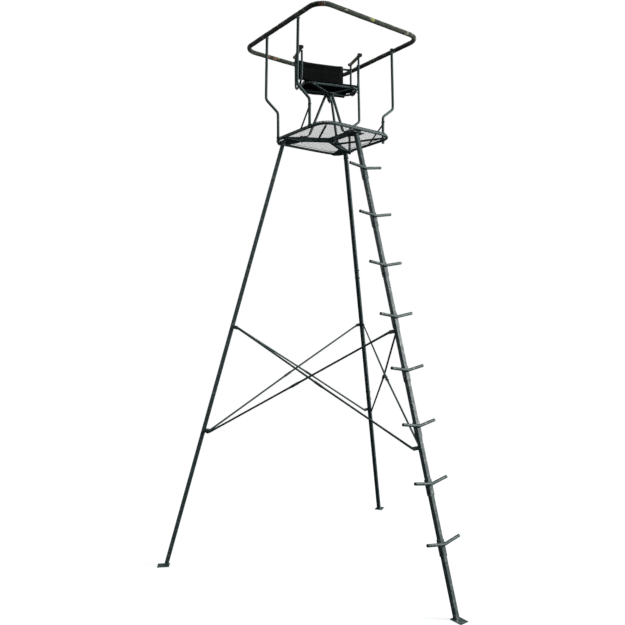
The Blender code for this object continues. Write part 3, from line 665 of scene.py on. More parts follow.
def back_line(places):
    """The back-rest tube's line through the given x places."""
    y = ARM_BACK_Y + 2 * SEAT_TUBE_R + GAP
    return [Vector((x, y + BACK_BOW * (1 - (x / BACK_BOW_HALF_X) ** 2), BACK_TUBE_Z)) for x in places]


# Steel pieces carried over from the frame


def clean_copy(node):
    """A bmesh of a CAD node with its points joined and its flat triangles paired into quads."""
    bm = bmesh.new()
    bm.from_mesh(NODES[node].data)
    bmesh.ops.remove_doubles(bm, verts=bm.verts, dist=1e-5)
    flat, any_shape = math.radians(1), math.radians(180)
    bmesh.ops.join_triangles(bm, faces=bm.faces, angle_face_threshold=flat, angle_shape_threshold=any_shape)
    return bm


def round_piece(node, material, body):
    """A round tube of the frame, with its facets smoothed by subdivision and its cut ends kept crisp."""
    bm = clean_copy(node)
    crease = bm.edges.layers.float.new("crease_edge")
    for edge in bm.edges:
        if len(edge.link_faces) == 2 and edge.calc_face_angle() > math.radians(58):
            edge[crease] = 0.95
    obj = piece(f"{node}_tube", bm, material, body, 60, [node])
    smoothed(obj, 2)
    radius, sides = next(size for start, size in ROUND_TUBES.items() if node.startswith(start))
    swell = obj.modifiers.new("swell", "DISPLACE")
    swell.mid_level = 0
    swell.strength = radius * (1 - math.cos(2 * math.pi / sides)) / 3


def bevelled_piece(node, material, body):
    """A square tube or plate of the frame, with its edges rounded so that they catch the light."""
    bm = clean_copy(node)
    edges = [e for e in bm.edges if len(e.link_faces) == 2 and e.calc_face_angle() > math.radians(30)]
    shape = {"offset": 0.0006, "segments": 2, "profile": 0.5}
    bmesh.ops.bevel(bm, geom=edges, affect="EDGES", clamp_overlap=True, **shape)
    obj = piece(f"{node}_steel", bm, material, body, 60, [node])
    normals = obj.modifiers.new("normals", "WEIGHTED_NORMAL")
    normals.keep_sharp = True


# Radius and number of sides of the round tubes in the frame, by how their names start.
ROUND_TUBES = {
    "platform_frame": (FRAME_R, 12),
    "cross_bar": (CROSS_BAR_R, 10),
    "brace_": (BRACE_R, 8),
    "rail_post": (POST_R, 12),
    "post_gusset": (GUSSET_R, 8),
    "rail_tube": (FRAME_R, 10),
    "pedestal_leg": (PEDESTAL_R, 8),
    "seat_frame": (SEAT_TUBE_R, 10),
    "arm_tube": (SEAT_TUBE_R, 10),
    "back_tube": (SEAT_TUBE_R, 10),
}
MADE_HERE = ("step_", "platform_floor", "rail_sleeve", "arm_pad", "seat_pad", "back_panel")


def make_steel_pieces(material):
    for body, members in FRAME_PARTS["record"]["behaviour"]["bodies"].items():
        for node in members:
            if not node.startswith(MADE_HERE):
                make = round_piece if node.startswith(tuple(ROUND_TUBES)) else bevelled_piece
                make(node, material, body)


# Ladder steps


def make_step(number, steel, plastic):
    """A square sleeve on the pole with a bent round bar across its front, open at both ends."""
    along = leg_direction("ladder")
    side = crosswise("ladder")
    front = -inner_normal("ladder")
    centre = step_centre(number)
    bm = bmesh.new()
    outer = rounded_box(SLEEVE_SIDE, SLEEVE_SIDE, 0.0042)
    bore = rounded_box(SLEEVE_BORE, SLEEVE_BORE, 0.0022)
    hollow(bm, [centre - along * SLEEVE_BELOW, centre + along * SLEEVE_ABOVE], outer, bore, side)
    vertex = centre + front * (SLEEVE_SIDE / 2 + STEP_R - STEP_SUNK)
    ends = [vertex + side * (s * STEP_HALF_WIDTH) + along * STEP_RISE for s in (-1, 1)]
    path = bent([ends[0], vertex, ends[1]], STEP_BEND_R)
    hollow(bm, path, circle(STEP_R), circle(STEP_R - STEP_WALL), along)
    piece(f"step_{number}_steel", bm, steel, "stand", 50, [f"step_{number}"])
    plugs = bmesh.new()
    for a, b in ((path[0], path[1]), (path[-1], path[-2])):
        end_plug(plugs, a, (a - b).normalized(), STEP_R)
    piece(f"step_{number}_plugs", plugs, plastic, "stand")


def end_plug(bm, at, axis, radius):
    """A domed plug pushed into a tube's end."""
    stem, rim = radius - 0.002, radius + 0.0004
    dome = [(rim, 0.0001), (rim, 0.0018), (rim * 0.88, 0.0036), (rim * 0.5, 0.0048), (0, 0.0051)]
    turned(bm, [(0, -0.008), (stem, -0.008), (stem, 0.0001), *dome], at, axis)


# Hardware


def hex_solid(bm, origin, axis, across_flats, height):
    """Adds a hexagon head or nut with its corners turned off."""
    r = across_flats / math.sqrt(3)
    corners = [(r * 0.97, 0), (r, height * 0.12), (r, height * 0.82), (r * 0.84, height)]
    turned(bm, [(0, 0), *corners, (0, height)], origin, axis, 6)


def bolt(bm, middle, axis, grip, size=0.008):
    """Adds a bolt through a grip: its head on the axis' side, nut and thread end on the other."""
    axis = axis.normalized()
    disc = size * 0.17
    edge = [(size * 1.02, -0.0005), (size * 1.05, disc * 0.6), (size * 0.98, disc)]
    washer = [(0, -0.0005), *edge, (0, disc)]
    for sign, height in ((1, 0.62), (-1, 0.78)):
        face = middle + axis * (sign * grip / 2)
        turned(bm, washer, face, axis * sign)
        hex_solid(bm, face + axis * (sign * disc), axis * sign, size * 1.62, size * height)
    tail = size / 2
    rings = [(0, -0.001)]
    for k in range(5):
        rings += [(tail * 0.98, k * 0.0009), (tail * 0.86, k * 0.0009 + 0.00045)]
    rings += [(tail * 0.7, 0.0050), (0, 0.0050)]
    turned(bm, rings, middle - axis * (grip / 2 + disc + size * 0.78), -axis, 16)


def weld(bm, path, radius=0.0024, closed=False):
    """Adds a rippled bead along a path."""
    points = [Vector(p) for p in path]
    if closed:
        points.append(points[0])
    line = spaced(points, radius * 0.55)
    if closed:
        line.pop()
    profiles = []
    for k, point in enumerate(line):
        r = radius * (0.82 + 0.18 * abs(math.sin(k * 0.9)) + 0.10 * noise.noise(point * 90))
        profiles.append(circle(r, 8))
    normal = UP
    if len(line) > 2:
        plane = (line[len(line) // 3] - line[0]).cross(line[2 * len(line) // 3] - line[0])
        normal = plane.normalized() if plane.length > 1e-7 else across((line[-1] - line[0]).normalized())
    sweep(bm, line, profiles, normal, closed)


def cross_weld(bm, middle, way, half, radius=0.0024):
    """Adds a straight bead that reaches half its length to each side of its middle."""
    weld(bm, [middle - way * half, middle + way * half], radius)


def make_leg_hardware(zinc):
    """The bolts through each leg's joints and socket, and through the ladder's step sleeves."""
    for leg in SECTIONS:
        bm = bmesh.new()
        side = crosswise(leg)
        heights = (*LEG_BOLTS_Z, SOCKET_BOLT_Z) if leg != "ladder" else (SOCKET_BOLT_Z,)
        for z in heights:
            bolt(bm, leg_point(leg, z), side, LEG_SIDE)
        if leg == "ladder":
            for number in range(1, STEP_COUNT + 1):
                at = step_centre(number) - leg_direction(leg) * STEP_BOLT_DROP
                bolt(bm, at, side, SLEEVE_SIDE, 0.007)
        piece(f"bolts_{leg}_leg", bm, zinc, "stand")


def lug_bolt(leg, height, other):
    """Where a brace's bolt goes through its ear, and the ear's normal."""
    inward = inner_normal(leg)
    side = crosswise(leg)
    if side.dot(leg_point(other, 0) - leg_point(leg, 0)) < 0:
        side = -side
    flat, deep = math.cos(EAR_ANGLE), math.sin(EAR_ANGLE)
    ear = side * flat + inward * deep
    normal = inward * flat - side * deep
    fold = lug_centre(leg, height) + inward * (LEG_SIDE / 2 - LUG_SUNK) + side * EAR_FOLD
    return fold + ear * EAR_BOLT + normal * ((LUG_THICKNESS + BRACE_TAB_THICKNESS) / 2), normal


def make_brace_hardware(zinc):
    """A bolt through each end of each brace."""
    bm = bmesh.new()
    for leg in SECTIONS:
        for height in LUG_HEIGHTS:
            for other in (name for name in SECTIONS if name != leg):
                at, normal = lug_bolt(leg, height, other)
                bolt(bm, at, normal, LUG_THICKNESS + BRACE_TAB_THICKNESS + 0.0006)
    piece("bolts_braces", bm, zinc, "stand")


def make_brace_couplers(steel, zinc):
    """The swaged sleeve that joins each brace's two halves, with a bolt through each side of it."""
    bm, bolts = bmesh.new(), bmesh.new()
    for node in (name for name in NODES if name.startswith("brace_")):
        points = coordinates(NODES[node].data)
        ends = points[points[:, 2].argmin()], points[points[:, 2].argmax()]
        along = Vector(ends[1] - ends[0]).normalized()
        shares = (points - ends[0]) @ np.array(along)
        middle = Vector(points[np.abs(shares - shares.max() / 2) < 2 * COUPLER_HALF].mean(axis=0))
        side = along.cross(UP).normalized()
        stations = ((-1.0, 0.80), (-0.96, 0.98), (-0.84, 1.0), (0.84, 1.0), (0.96, 0.98), (1.0, 0.80))
        path = [middle + along * (COUPLER_HALF * t) for t, _ in stations]
        sweep(bm, path, [circle(COUPLER_R * size, 16) for _, size in stations], side)
        for t in (-0.5, 0.5):
            bolt(bolts, middle + along * (COUPLER_HALF * t), side, 2 * COUPLER_R, 0.006)
    piece("brace_couplers", bm, steel, "stand", 50)
    piece("bolts_couplers", bolts, zinc, "stand")


def make_welds(steel):
    """Beads along the lugs, round the feet, under the steps, and on the platform."""
    bm = bmesh.new()
    for leg in SECTIONS:
        side, along, inward = crosswise(leg), leg_direction(leg), inner_normal(leg)
        for height in LUG_HEIGHTS:
            base = lug_centre(leg, height) + inward * (LEG_SIDE / 2)
            for sign in (-1, 1):
                cross_weld(bm, base + along * (sign * LUG_HALF_HEIGHT), side, 0.015)
        foot = LEG_ENDS[leg][0]
        half = LEG_SIDE / 2 + 0.0005
        corners = [(-half, -half), (half, -half), (half, half), (-half, half)]
        weld(bm, [foot + outward(leg) * u + side * v for u, v in corners], 0.0028, closed=True)
    piece("welds_legs", bm, steel, "stand")
    make_step_welds(steel)
    make_platform_welds(steel)


def make_step_welds(steel):
    bm = bmesh.new()
    along, side, front = leg_direction("ladder"), crosswise("ladder"), -inner_normal("ladder")
    for number in range(1, STEP_COUNT + 1):
        centre = step_centre(number) + front * (SLEEVE_SIDE / 2)
        for sign in (-1, 1):
            cross_weld(bm, centre + along * (sign * 0.0068 + 0.001), side, 0.017, 0.0026)
    piece("welds_steps", bm, steel, "stand")


def make_platform_welds(steel):
    bm = bmesh.new()
    for sign in (-1, 1):
        y = PLATFORM_Y + POST_OFFSETS_Y["front"]
        top = stand_point(sign * POST_X, y + POST_R, GUSSET_TOP_Z)
        foot = stand_point(sign * PLATFORM_HALF, y + GUSSET_RUN, PLATFORM_Z + FRAME_R)
        way = (foot - top).normalized()
        for centre in (top + way * 0.004, foot - way * 0.004):
            weld(bm, ring_points(centre, way, GUSSET_R + 0.0008, 32), 0.0018, closed=True)
    half = BEAM_SIDE / 2
    for leg in SECTIONS:
        side = crosswise(leg)
        for z in (PLATFORM_Z - half, PLATFORM_Z + half):
            cross_weld(bm, AXIS + UP * z + outward(leg) * 0.011, side, 0.018)
        cross_weld(bm, AXIS + UP * PLATFORM_Z - outward(leg) * 0.0226, UP, half)
    piece("welds_platform", bm, steel, "stand")


def make_platform_hardware(zinc, plastic):
    """Bolts and end plugs of the posts, and the bolts that hold the pedestal's feet."""
    bm, plugs = bmesh.new(), bmesh.new()
    for place, offset in POST_OFFSETS_Y.items():
        y = PLATFORM_Y + offset
        for sign in (-1, 1):
            out = Vector((sign, 0, 0))
            joint = stand_point(sign * (PLATFORM_HALF + POST_X) / 2, y, PLATFORM_Z)
            bolt(bm, joint, out, 2 * (POST_R + FRAME_R), 0.007)
            bolt(bm, stand_point(sign * POST_HIGH_X, y, RAIL_Z), -out, 2 * POST_R, 0.007)
            end_plug(plugs, stand_point(sign * POST_X, y, POST_BOTTOM_Z), -UP, POST_R)
            end_plug(plugs, stand_point(sign * POST_HIGH_X, y, POST_TOP_Z), UP, POST_R)
            if place == "front":
                bolt(bm, stand_point(sign * POST_X, y, COLLAR_Z), Vector((0, 1, 0)), 0.030, 0.006)
    low, high = PLATFORM_Z - BEAM_SIDE / 2, PEDESTAL_FOOT_TOP_Z
    for leg in SECTIONS:
        at = AXIS + outward(leg) * PEDESTAL_BOLT_RADIUS
        bolt(bm, at + UP * ((low + high) / 2), UP, high - low, 0.008)
    piece("bolts_platform", bm, zinc, "stand")
    piece("post_plugs", plugs, plastic, "stand")


def make_hub_details(steel, zinc):
    """Webs that stiffen the hub's socket, and the spindle's nut."""
    bm = bmesh.new()
    low = HUB_TOP_Z - HUB_FLANGE
    inner = HUB_SOCKET_R - 0.001
    for leg in SECTIONS:
        out = Matrix.Rotation(math.radians(60), 3, "Z") @ outward(leg)
        thick = out.cross(UP) * 0.002
        corners = [(inner, low), (0.051, low), (0.049, low - 0.010), (inner, low - 0.056)]
        faces = [[bm.verts.new(AXIS + out * r + UP * z + thick * s) for r, z in corners] for s in (-1, 1)]
        bm.faces.new(faces[0])
        bm.faces.new(faces[1][::-1])
        bridge(bm, *faces)
    piece("hub_webs", bm, steel, "stand")
    nut = bmesh.new()
    base = SWIVEL - UP * HUB_SOCKET_DEPTH
    turned(nut, [(0, 0), (0.0185, 0), (0.0190, 0.0012), (0.0180, 0.0024), (0, 0.0024)], base, -UP)
    hex_solid(nut, base - UP * 0.0024, -UP, 0.024, 0.012)
    turned(nut, [(0, 0), (0.0075, 0), (0.0075, 0.006), (0.006, 0.008), (0, 0.008)], base - UP * 0.0144, -UP)
    piece("spindle_nut", nut, zinc, "stand")


def make_seat_hardware(zinc, plastic, webbing):
    """Bolts and end plugs of the seat's tubes, and the straps that hold the cushion."""
    bm, plugs, straps = bmesh.new(), bmesh.new(), bmesh.new()
    for sign in (-1, 1):
        out = seat_way(sign, 0, 0)
        for y in (0.035, 0.095):
            bolt(bm, seat_point(sign * (ARM_X - SEAT_TUBE_R), y, PAN_Z), out, 4 * SEAT_TUBE_R, 0.006)
        at = seat_point(sign * ARM_X, ARM_BACK_Y + SEAT_TUBE_R, BACK_TUBE_Z)
        bolt(bm, at, seat_way(0, 1, 0), 4 * SEAT_TUBE_R, 0.006)
        end = back_line([sign * BACK_TUBE_HALF_X])[0]
        end_plug(plugs, seat_point(*end), out, SEAT_TUBE_R)
    for y in (PAN_FRONT_Y, PAN_BACK_Y):
        for sign in (-1, 1):
            at = seat_point(sign * PAN_BOLT_X, y, PAN_Z - SEAT_TUBE_R * 0.3)
            bolt(bm, at, seat_way(0, 0, -1), 2 * SEAT_TUBE_R * 0.9, 0.006)
            strap(straps, sign * STRAP_X, y)
    piece("bolts_seat", bm, zinc, "seat")
    piece("seat_plugs", plugs, plastic, "seat")
    piece("seat_straps", straps, webbing, "seat")


def strap(bm, x, y):
    """A webbing loop round the pan's tube, with its tail sewn to the pad."""
    radius = SEAT_TUBE_R + 0.0022
    inward = 1 if y < 0.03 else -1
    profile = rounded_box(STRAP_WIDTH, STRAP_THICKNESS, 0.0006, 2)
    turn = np.linspace(0, 2 * math.pi, 37)[:-1]
    loop = [seat_point(x, y + radius * math.cos(a), PAN_Z + radius * math.sin(a)) for a in turn]
    sweep(bm, loop, profile, seat_way(1, 0, 0), closed=True)
    low = PAN_Z - radius - 0.0002
    rises = ((0.0, 0.0), (0.010, 0.0015), (0.020, 0.0070), (0.030, 0.0150), (0.036, 0.0200))
    tail = [seat_point(x, y + inward * t, low + rise) for t, rise in rises]
    sweep(bm, tail, profile, seat_way(1, 0, 0))


# Expanded-metal floor


def floor_reach(y):
    """How far the floor reaches to each side at a distance y from its middle."""
    straight = FLOOR_HALF - PLATFORM_CORNER
    over = abs(y) - straight
    return FLOOR_HALF if over <= 0 else straight + math.sqrt(max(0.0, PLATFORM_CORNER**2 - over**2))


def make_grating(steel):
    """Strands that zigzag across the floor and are joined to their neighbours at each turn."""
    bm = bmesh.new()
    rows = int(FLOOR_HALF * 2 / DIAMOND_WIDTH)
    first = -(rows - 1) / 2 * DIAMOND_WIDTH
    half_diamond = DIAMOND_LENGTH / 2
    z = FLOOR_TOP_Z - 0.0015
    for row in range(rows * 2 + 1):
        y = first + (row - 0.5) * DIAMOND_WIDTH / 2
        reach = floor_reach(y) - 0.001
        if reach < half_diamond:
            continue
        sign = 1 if row % 2 else -1
        swing = DIAMOND_WIDTH / 4 * sign
        start = math.ceil(-reach / half_diamond + 0.02)
        turns = [k * DIAMOND_LENGTH / 2 for k in range(start, start + int(2 * reach / half_diamond) + 2)]
        places = [(-reach, -reach)]
        places += [(x, x + shift) for x in turns if x < reach - 0.002 for shift in (-0.0035, 0.0035)]
        places.append((reach, reach))
        path = [Vector((to, y + zigzag(x) * swing, z)) for x, to in places]
        path = [p for p, q in zip(path, path[1:] + [None]) if q is None or (q - p).length > 1e-4]
        cos, sin = math.cos(0.35 * sign), math.sin(0.35 * sign)
        strand = rounded_box(STRAND_THICKNESS, STRAND_WIDTH, 0.0003, 1)
        profile = [(u * cos - v * sin, u * sin + v * cos) for u, v in strand]
        sweep(bm, [AXIS + Vector((p.x, p.y + PLATFORM_Y, p.z)) for p in path], profile, UP)
    piece("floor_grating", bm, steel, "stand", 40, ["platform_floor"])
    rim = bmesh.new()
    place = stand_point(0, PLATFORM_Y, FLOOR_TOP_Z - 0.0030)
    line = [place + p for p in rounded_loop(FLOOR_HALF, FLOOR_HALF, PLATFORM_CORNER, 14)]
    sweep(rim, spaced(line, 0.012)[:-1], circle(0.0030, 10), UP, closed=True)
    piece("floor_rim", rim, steel, "stand", 40)


def zigzag(x):
    """A wave from -1 to 1 with straight flanks, one diamond long."""
    t = (x / DIAMOND_LENGTH) % 1.0
    return 1 - 4 * t if t < 0.5 else 4 * t - 3


# Padded pieces


def coordinates(mesh):
    points = np.zeros(len(mesh.vertices) * 3)
    mesh.vertices.foreach_get("co", points)
    return points.reshape(-1, 3)


def puff(obj, pressure, reach, frames=20):
    """Swells a closed skin with a short cloth simulation. No point travels much further than reach."""
    scene = bpy.context.scene
    before = coordinates(obj.data)
    cloth = obj.modifiers.new("puff", "CLOTH")
    cloth.settings.use_pressure = True
    cloth.settings.uniform_pressure_force = pressure
    cloth.settings.effector_weights.gravity = 0
    cloth.settings.quality = 6
    cloth.settings.tension_stiffness = 30
    cloth.settings.compression_stiffness = 30
    cloth.settings.bending_stiffness = 0.15
    for number in range(1, frames + 1):
        scene.frame_set(number)
    shown = obj.evaluated_get(bpy.context.evaluated_depsgraph_get())
    after = coordinates(shown.data)
    obj.modifiers.remove(cloth)
    scene.frame_set(1)
    move = after - before
    length = np.linalg.norm(move, axis=1, keepdims=True)
    return before, move * (reach * np.tanh(length / reach) / np.maximum(length, 1e-9))


def settle(obj, pressure, reach, lowest, highest, sideways=1.0):
    """Puffs a pad out between two heights. sideways is the share of its moves along the ground it keeps."""
    before, move = puff(obj, pressure, reach)
    move[:, :2] *= sideways
    points = before + move
    points[:, 2] = np.clip(points[:, 2], lowest, highest)
    obj.data.vertices.foreach_set("co", points.ravel())
    obj.data.update()


def stitches(bm, path, side, length=0.0042, gap=0.0026, radius=0.00045):
    """Adds a row of stitches along a path. side is the way the cloth faces."""
    line = spaced(path, length + gap)
    sizes = [circle(radius * s, 6) for s in (0.45, 0.9, 1.0, 0.9, 0.45)]
    for a, b in zip(line, line[1:]):
        way = (b - a).normalized() * (length / 2)
        mid = (a + b) / 2
        points = [mid + way * t + side * (radius * (0.9 - 1.4 * t * t)) for t in (-1, -0.5, 0, 0.5, 1)]
        sweep(bm, points, sizes, side)


def rail_half(end):
    """The middle line of the rail's back or front half."""
    ends = (RAIL_Y + end * RAIL_SEAM, RAIL_Y + end * RAIL_HALF)
    corners = [(x, y, RAIL_Z) for x, ys in ((-RAIL_HALF, ends), (RAIL_HALF, ends[::-1])) for y in ys]
    return [AXIS + p for p in bent(corners, RAIL_CORNER, 12)]


def make_rail_padding(place, end, camo, thread):
    """Foam in a sewn sleeve: gathered at its ends, creased across, and bunched inside the bends."""
    step, sides = 0.005, 32
    line = spaced(rail_half(end), step)
    ways = tangents(line)
    bm = bmesh.new()
    profiles = []
    last = len(line) - 1
    for k, (point, way) in enumerate(zip(line, ways)):
        s = k * step
        turn = ways[min(k + 4, last)].angle(ways[max(k - 4, 0)])
        from_end = min(k, last - k) * step
        pinch = 0.0022 * math.exp(-((from_end - 0.010) / 0.006) ** 2) + 0.0012 * math.exp(-from_end / 0.004)
        inner = math.copysign(1, UP.cross(way).dot(stand_point(0, RAIL_Y, RAIL_Z) - point))
        profile = []
        for x, y in circle(1, sides):
            fold = noise.noise(Vector((s * 75, x * 0.8, y * 0.8 + end * 3)))
            ridge = (1 - abs(fold) * 2.2) * 0.0007
            lump = noise.noise(Vector((s * 14, x * 0.9 + 7, y * 0.9))) * 0.0011
            inside = max(0.0, inner * y) * min(1.0, turn / 0.25)
            bunch = inside * 0.0016 * math.sin(s * 2 * math.pi / 0.017 + 2 * fold)
            r = RAIL_PADDING_R + ridge + lump + bunch - pinch - 0.0008 * max(0.0, -x) ** 8
            profile.append((r * x, r * y))
        profiles.append(profile)
    sweep(bm, line, profiles, UP)
    solid = f"rail_sleeve_{place}"
    obj = piece(f"rail_padding_{place}", bm, camo, "stand", 70, [solid])
    smoothed(obj)
    seam = bmesh.new()
    for shift in (0.0030, -0.0030):
        below = [p - UP * (RAIL_PADDING_R - 0.0002) + UP.cross(w) * shift for p, w in zip(line, ways)]
        stitches(seam, below[4:-4], -UP)
    piece(f"rail_padding_{place}_stitches", seam, thread, "stand")


def make_pad_skin(half_x, half_y, corner, step, height):
    """Two sheets sewn together round a rounded outline: grids of columns and rows that bulge apart."""
    columns, rows = round(2 * half_x / step), round(2 * half_y / step)
    bm = bmesh.new()
    layers = []
    for side in (1, -1):
        grid = []
        for i in range(columns + 1):
            line = []
            for j in range(rows + 1):
                u, v = 2 * i / columns - 1, 2 * j / rows - 1
                x, y = into_outline(u, v, half_x, half_y, corner)
                rim = i in (0, columns) or j in (0, rows)
                crown = (1 - abs(u) ** 8) ** 0.5 * (1 - abs(v) ** 6) ** 0.5
                if rim and side < 0:
                    line.append(layers[0][i][j])
                else:
                    line.append(bm.verts.new((x, y, 0 if rim else side * height / 2 * crown)))
            grid.append(line)
        layers.append(grid)
        for i in range(columns):
            for j in range(rows):
                quad = (grid[i][j], grid[i + 1][j], grid[i + 1][j + 1], grid[i][j + 1])
                bm.faces.new(quad if side > 0 else quad[::-1])
    return bm


def into_outline(u, v, half_x, half_y, corner):
    """Moves a point of the square from -1 to 1 into a rectangle with round corners."""
    x, y = u * half_x, v * half_y
    over_x, over_y = abs(x) - (half_x - corner), abs(y) - (half_y - corner)
    if over_x > 0 and over_y > 0:
        far = max(over_x, over_y)
        along = math.hypot(over_x, over_y)
        x = math.copysign(half_x - corner + over_x * far / along, x)
        y = math.copysign(half_y - corner + over_y * far / along, y)
    return x, y


def make_seat_pad(fabric, thread):
    """A foam seat pad in black cloth, with a piped edge and two sewn channels."""
    half_x, half_y = PAD_HALF_X - 0.004, (PAN_BACK_Y - PAN_FRONT_Y) / 2 + SEAT_TUBE_R - 0.004
    middle_y = (PAN_FRONT_Y + PAN_BACK_Y) / 2
    low, middle_z = PAN_TOP_Z + 0.0008, PAN_TOP_Z + 0.0118
    place = TO_SEAT @ Matrix.Translation((0, middle_y, middle_z))
    bm = make_pad_skin(half_x, half_y, PAD_CORNER, 0.0065, 0.015)
    bmesh.ops.transform(bm, matrix=place, verts=bm.verts)
    obj = piece("seat_cushion", bm, fabric, "seat", 70, ["seat_pad"])
    settle(obj, 4.0, 0.009, low, PAN_TOP_Z + PAD_THICKNESS + 0.004, PAD_PULL)
    sew_channels(obj, low)
    smoothed(obj)
    path = [place @ p for p in rounded_loop(half_x, half_y, PAD_CORNER, 10)]
    piping = bmesh.new()
    sweep(piping, spaced(path, 0.006)[:-1], circle(0.0026, 12), UP, closed=True)
    piece("seat_cushion_piping", piping, fabric, "seat")
    rows = bmesh.new()
    places = np.linspace(-half_y + 0.012, half_y - 0.012, 24) + middle_y
    for x in PAD_CHANNELS_X:
        starts = [seat_point(x, y, PAN_TOP_Z + 0.2) for y in places]
        stitches(rows, hits(obj, starts, -UP), UP)
    piece("seat_cushion_stitches", rows, thread, "seat")


def sew_channels(obj, low):
    """Pulls a pad's upper side down along lines across it."""
    inverse = TO_SEAT.inverted()
    for vertex in obj.data.vertices:
        x = (inverse @ vertex.co).x
        height = vertex.co.z - low
        if height > 0.012:
            pull = sum(math.exp(-(((x - place) / 0.0075) ** 2)) for place in PAD_CHANNELS_X)
            vertex.co.z -= pull * (height - 0.012) * 0.6


def hits(obj, starts, way):
    """Where parallel rays first meet a pad."""
    shown = obj.evaluated_get(bpy.context.evaluated_depsgraph_get())
    found = (shown.ray_cast(start, way) for start in starts)
    return [point for hit, point, _, _ in found if hit]


def thinned(k, count, sizes):
    """The share of its thickness that a pad has at station k, for sizes that grow from each end."""
    edge = min(k, count - 1 - k)
    return sizes[edge] if edge < len(sizes) else 1.0


def make_seat_flap(fabric, thread):
    """A padded flap of the seat cover that hangs behind the pan's rear tube."""
    places = np.linspace(-FLAP_HALF_X, FLAP_HALF_X, 60)
    back = PAN_BACK_Y + SEAT_TUBE_R + 0.0045
    line = [seat_point(x, back + 0.0012 * math.sin(x * 41.0), PAN_Z) for x in places]
    sides = np.linspace(FLAP_TOP - 0.008, FLAP_LOW + 0.006, 10)
    outline = [(-0.0026, FLAP_TOP - 0.003), (0, FLAP_TOP), (0.0026, FLAP_TOP - 0.003)]
    outline += [(0.0030, h) for h in sides] + [(0.0026, FLAP_LOW + 0.002), (0, FLAP_LOW)]
    outline += [(-0.0026, FLAP_LOW + 0.002)] + [(-0.0030, h) for h in sides[::-1]]
    profiles = []
    for k, x in enumerate(places):
        thin = thinned(k, len(places), (0.35, 0.75, 0.95))
        sag = 0.0012 * math.cos(x * 33.0 + 0.6) * (1 if abs(x) < FLAP_HALF_X - 0.02 else 0.4)
        profiles.append([(u * thin, v + (sag if v < 0 else 0)) for u, v in outline[::-1]])
    bm = bmesh.new()
    sweep(bm, line, profiles, seat_way(0, 1, 0))
    obj = piece("seat_cover_flap", bm, fabric, "seat", 70)
    smoothed(obj)
    rows = bmesh.new()
    lift = seat_way(0, 0.0031, FLAP_LOW + 0.007)
    stitches(rows, [p + lift for p in line[3:-3]], seat_way(0, 1, 0))
    piece("seat_flap_stitches", rows, thread, "seat")


def make_back_panel(fabric, thread):
    """A padded black sleeve that hangs on the back tube and draws in just under it."""
    half = PANEL_THICKNESS / 2
    thick = half * 0.92
    top, low = PANEL_TOP_Z - BACK_TUBE_Z, PANEL_BOTTOM_Z - BACK_TUBE_Z
    outline = [(thick * math.cos(a), top - half + thick * math.sin(a)) for a in np.linspace(0, math.pi, 9)]
    heights = np.linspace(top - half - 0.008, low + 0.010, 26)
    side = [(thick * (0.45 + 0.55 * min(1.0, abs(h + 0.034) / 0.020)), h) for h in heights]
    outline += [(-u, h) for u, h in side]
    outline += [(-half * 0.55, low + 0.003), (0, low), (half * 0.55, low + 0.003)]
    outline += side[::-1]
    places = np.linspace(PANEL_ENDS_X[0] + 0.003, PANEL_ENDS_X[1] - 0.003, 74)
    path = [TO_SEAT @ p for p in back_line(places)]
    thins = [thinned(k, len(places), (0.30, 0.66, 0.88, 0.97)) for k in range(len(places))]
    bm = bmesh.new()
    sweep(bm, path, [[(u * thin, v) for u, v in outline] for thin in thins], seat_way(0, 1, 0))
    obj = piece("back_rest_panel", bm, fabric, "seat", 70, ["back_panel"])
    settle(obj, 3.0, 0.005, PANEL_BOTTOM_Z - 0.001, PANEL_TOP_Z + 0.002)
    smoothed(obj)
    trim = bmesh.new()
    levels = np.linspace(PANEL_TOP_Z - 0.006, PANEL_BOTTOM_Z + 0.002, 30)
    for x in (places[0], places[-1]):
        y = back_line([x])[0].y
        edge = [seat_point(x, y, z) for z in levels]
        sweep(trim, edge, rounded_box(0.011, 0.0075, 0.0030, 3), seat_way(1, 0, 0))
    piece("back_rest_binding", trim, fabric, "seat")
    rows = bmesh.new()
    middle = back_line(np.linspace(PANEL_ENDS_X[0] + 0.016, PANEL_ENDS_X[1] - 0.016, 60))
    for z in (BACK_TUBE_Z - 0.024, PANEL_BOTTOM_Z + 0.016):
        for sign in (-1, 1):
            starts = [seat_point(p.x, p.y + sign * 0.2, z) for p in middle]
            stitches(rows, hits(obj, starts, seat_way(0, -sign, 0)), seat_way(0, sign, 0))
    piece("back_rest_stitches", rows, thread, "seat")


def arm_line(hand, y):
    """A point on an arm pad's middle line."""
    sign = -1 if hand == "left" else 1
    share = (ARM_BACK_Y - y) / (ARM_BACK_Y - ARM_PAD_FRONT_Y)
    return Vector((sign * (ARM_X + ARM_PAD_SPLAY[hand] * share), y, ARM_PAD_Z))


# An arm pad's caps, as stations of distance from the pad's end and share of the flared size.
FRONT_CAP = ((-0.0005, 0.70), (0.0005, 0.94), (0.004, 1.0), (0.016, 0.86), (0.0262, 0.79), (0.0268, 0.74))
BACK_CAP = ((-0.0005, 0.70), (0.0008, 0.84), (0.004, 0.86), (0.016, 0.82), (0.0165, 0.76))


